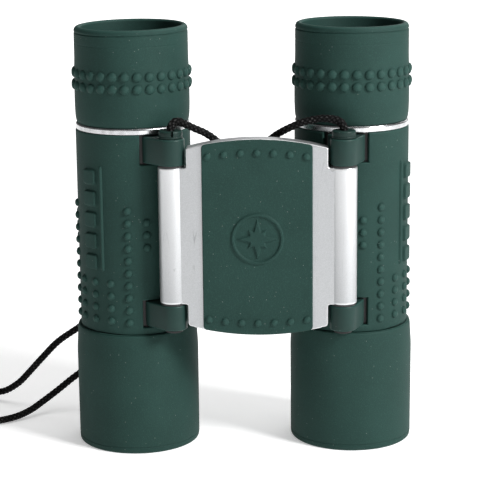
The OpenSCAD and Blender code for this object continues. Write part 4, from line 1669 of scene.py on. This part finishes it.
    def emblem(self, x: Array, z: Array) -> Array:
        """Height of the emblem, a compass star in a ring.

        A star's flank runs from a tip to a notch; folded about its axes of symmetry, a point's
        distance from that line, over both star sizes, is the distance from the star.
        """
        off, turn = np.hypot(x, z - 59), np.arctan2(np.abs(x), np.abs(z - 59))
        ring = np.abs(off - 6.25) - 0.35
        fold = np.minimum(turn, math.pi / 2 - turn)
        long_star = self.star_distance(off, fold, 5.0, 1.5)
        short_star = self.star_distance(off, math.pi / 4 - fold, 3.2, 1.5)
        return raised(np.minimum.reduce([ring, long_star, short_star]), 0.4, 0.2)

    @staticmethod
    def star_distance(off: Array, turn: Array, tip: float, notch: float) -> Array:
        """Distance from the line between a tip at no angle and a notch at an eighth of a turn."""
        u, v = off * np.cos(turn), off * np.sin(turn)
        end = notch * math.sqrt(0.5)
        along = np.array([end - tip, end])
        along /= np.linalg.norm(along)
        return along[1] * (u - tip) - along[0] * v

    def back_cover(self) -> None:
        """Cover plate and the round heads of its four screws, without slots."""
        shell = Shell()
        shell.slab(rounded([(-13, 40, 1.2), (13, 40, 1.2), (13, 78, 1.2), (-13, 78, 1.2)], 6),
                   self.back - 0.6, self.back + 0.02, 0.25, standing=True)
        self.hand_over(shell, "bridge_cover", "bridge_back_cover", RUBBER)
        screws = Shell()
        turn = np.linspace(0, 2 * math.pi, 33)[:-1]
        for x, z in self.screw_spots:
            disc = np.column_stack([x + 1.3 * np.cos(turn), z + 1.3 * np.sin(turn)])
            screws.slab(disc, self.back - 0.5, self.back + 0.1, 0.15, standing=True)
        self.hand_over(screws, "cover_screw_heads", "cover_screws", STEEL)

    def pins(self) -> None:
        """Hinge pins with their slotted lug caps."""
        cap, floor, half_slot = 3.05, 1.7, 0.31
        side_at = math.degrees(math.asin(half_slot / cap))
        off_slot = graded(
            (0, side_at, side_at / 3), (side_at, side_at + 1, 0.5), (side_at + 1, 359 - side_at, 4),
            (359 - side_at, 360 - side_at, 0.5), (360 - side_at, 360, side_at / 3),
        )[:-1]
        profile = rounded([
            (0, 33.4, 0), (1.25, 33.4, 0.15), (1.25, 84.55, 0), (2.95, 84.55, 0.1),
            (cap, 84.7, 0.05), (cap, 85.0, 0.1), (cap - 0.13, 85.12, 0.05), (cap - 0.02, 85.3, 0.1),
            (cap - 0.02, 85.55, 0.05), (cap - 0.02, 86.0, 0.1), (cap - 0.1, 86.5, 0.3),
            (1.1, 86.5, 0.15), (1.1, 85.3, 0), (0, 85.3, 0),
        ], 4, closed=False)

        for side, sign, slot_angle in ((Side.LEFT, -1, -12.0), (Side.RIGHT, 1, 118.0)):
            def slotted(radius: Array, height: Array, angle: Array,
                        at: float = slot_angle) -> tuple[Array, Array, Array]:
                """Cut a slot into the cap, with a rounded foot, from the foot up to the top."""
                off = np.abs((angle - at + 180) % 360 - 180) * math.radians(1) * cap
                foot = 85.45 - np.sqrt(np.maximum(half_slot ** 2 - off ** 2, 0))
                cut = (off < half_slot + 0.002) & (height > foot) & (radius > floor)
                return np.where(cut, floor, radius), height, angle

            shell = Shell()
            shell.turned(profile, off_slot + slot_angle, axis=(sign * self.hinge_x, 0.0),
                         shape=slotted, rubbed=lambda r, z, a: np.where((z > 86.3) & (r > 2.6), 0.8, 0.0))
            self.hand_over(shell, side.node("hinge_pin"), side.node("pin"), PIN_LACQUER)

    def hand_over(self, shell: Shell, name: str, node: str, finish: Finish) -> None:
        """Build a shell as a piece that rides on the bridge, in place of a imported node."""
        Piece(name, "bridge", finish, (node,), shell.build(name, self.place)).settle()

    def make(self) -> None:
        """Build everything that rides on the bridge, apart from the cord."""
        self.plate()
        self.panel()
        self.back_cover()
        self.pins()


# ---- Parts kept as packed ----


class KeptParts:
    """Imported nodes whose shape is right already: they only get their finish."""

    SIDE_FINISHES: dict[str, Finish] = {
        "objective_cell": BLACK_METAL,
        "flint_lens": LENS_GLASS,
        "prism_cage": BLACK_PLASTIC,
        "half_penta_prism": PRISM_GLASS,
        "roof_prism": PRISM_GLASS,
        "prism_clip": STEEL,
        "guide_pin": STEEL,
        "ocular_cell": BLACK_METAL,
        "field_lens": LENS_GLASS,
        "lens_spacers": BLACK_METAL,
        "focus_ring": BLACK_PLASTIC,
    }
    CENTRE_FINISHES: dict[str, Finish] = {"hinge_washers": BLACK_PLASTIC, "pin_clips": BLACK_METAL}

    @classmethod
    def dress(cls) -> None:
        """Dress each kept node."""
        named = {side.node(part): finish for side in Side
                 for part, finish in cls.SIDE_FINISHES.items()}
        for node, finish in {**named, **cls.CENTRE_FINISHES}.items():
            Wardrobe.dress(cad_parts[node], finish)
            LOG.info("%s keeps its packed shape", node)


def main() -> None:
    """Build the studio, the cord, the bridge and both tubes, and dress the rest."""
    logging.basicConfig(level=logging.INFO, format="%(name)s: %(message)s")
    Studio().set_up()
    bridge_place = Place.of_bridge()
    NeckCord(bridge_place).make()
    Bridge(bridge_place).make()
    for side in Side:
        place = Place.of_tube(side)
        for part in (TubeBody, Armour, ObjectiveEnd, Eyepiece):
            part(side, place).make()
    KeptParts.dress()


if __name__ == "__main__":
    main()
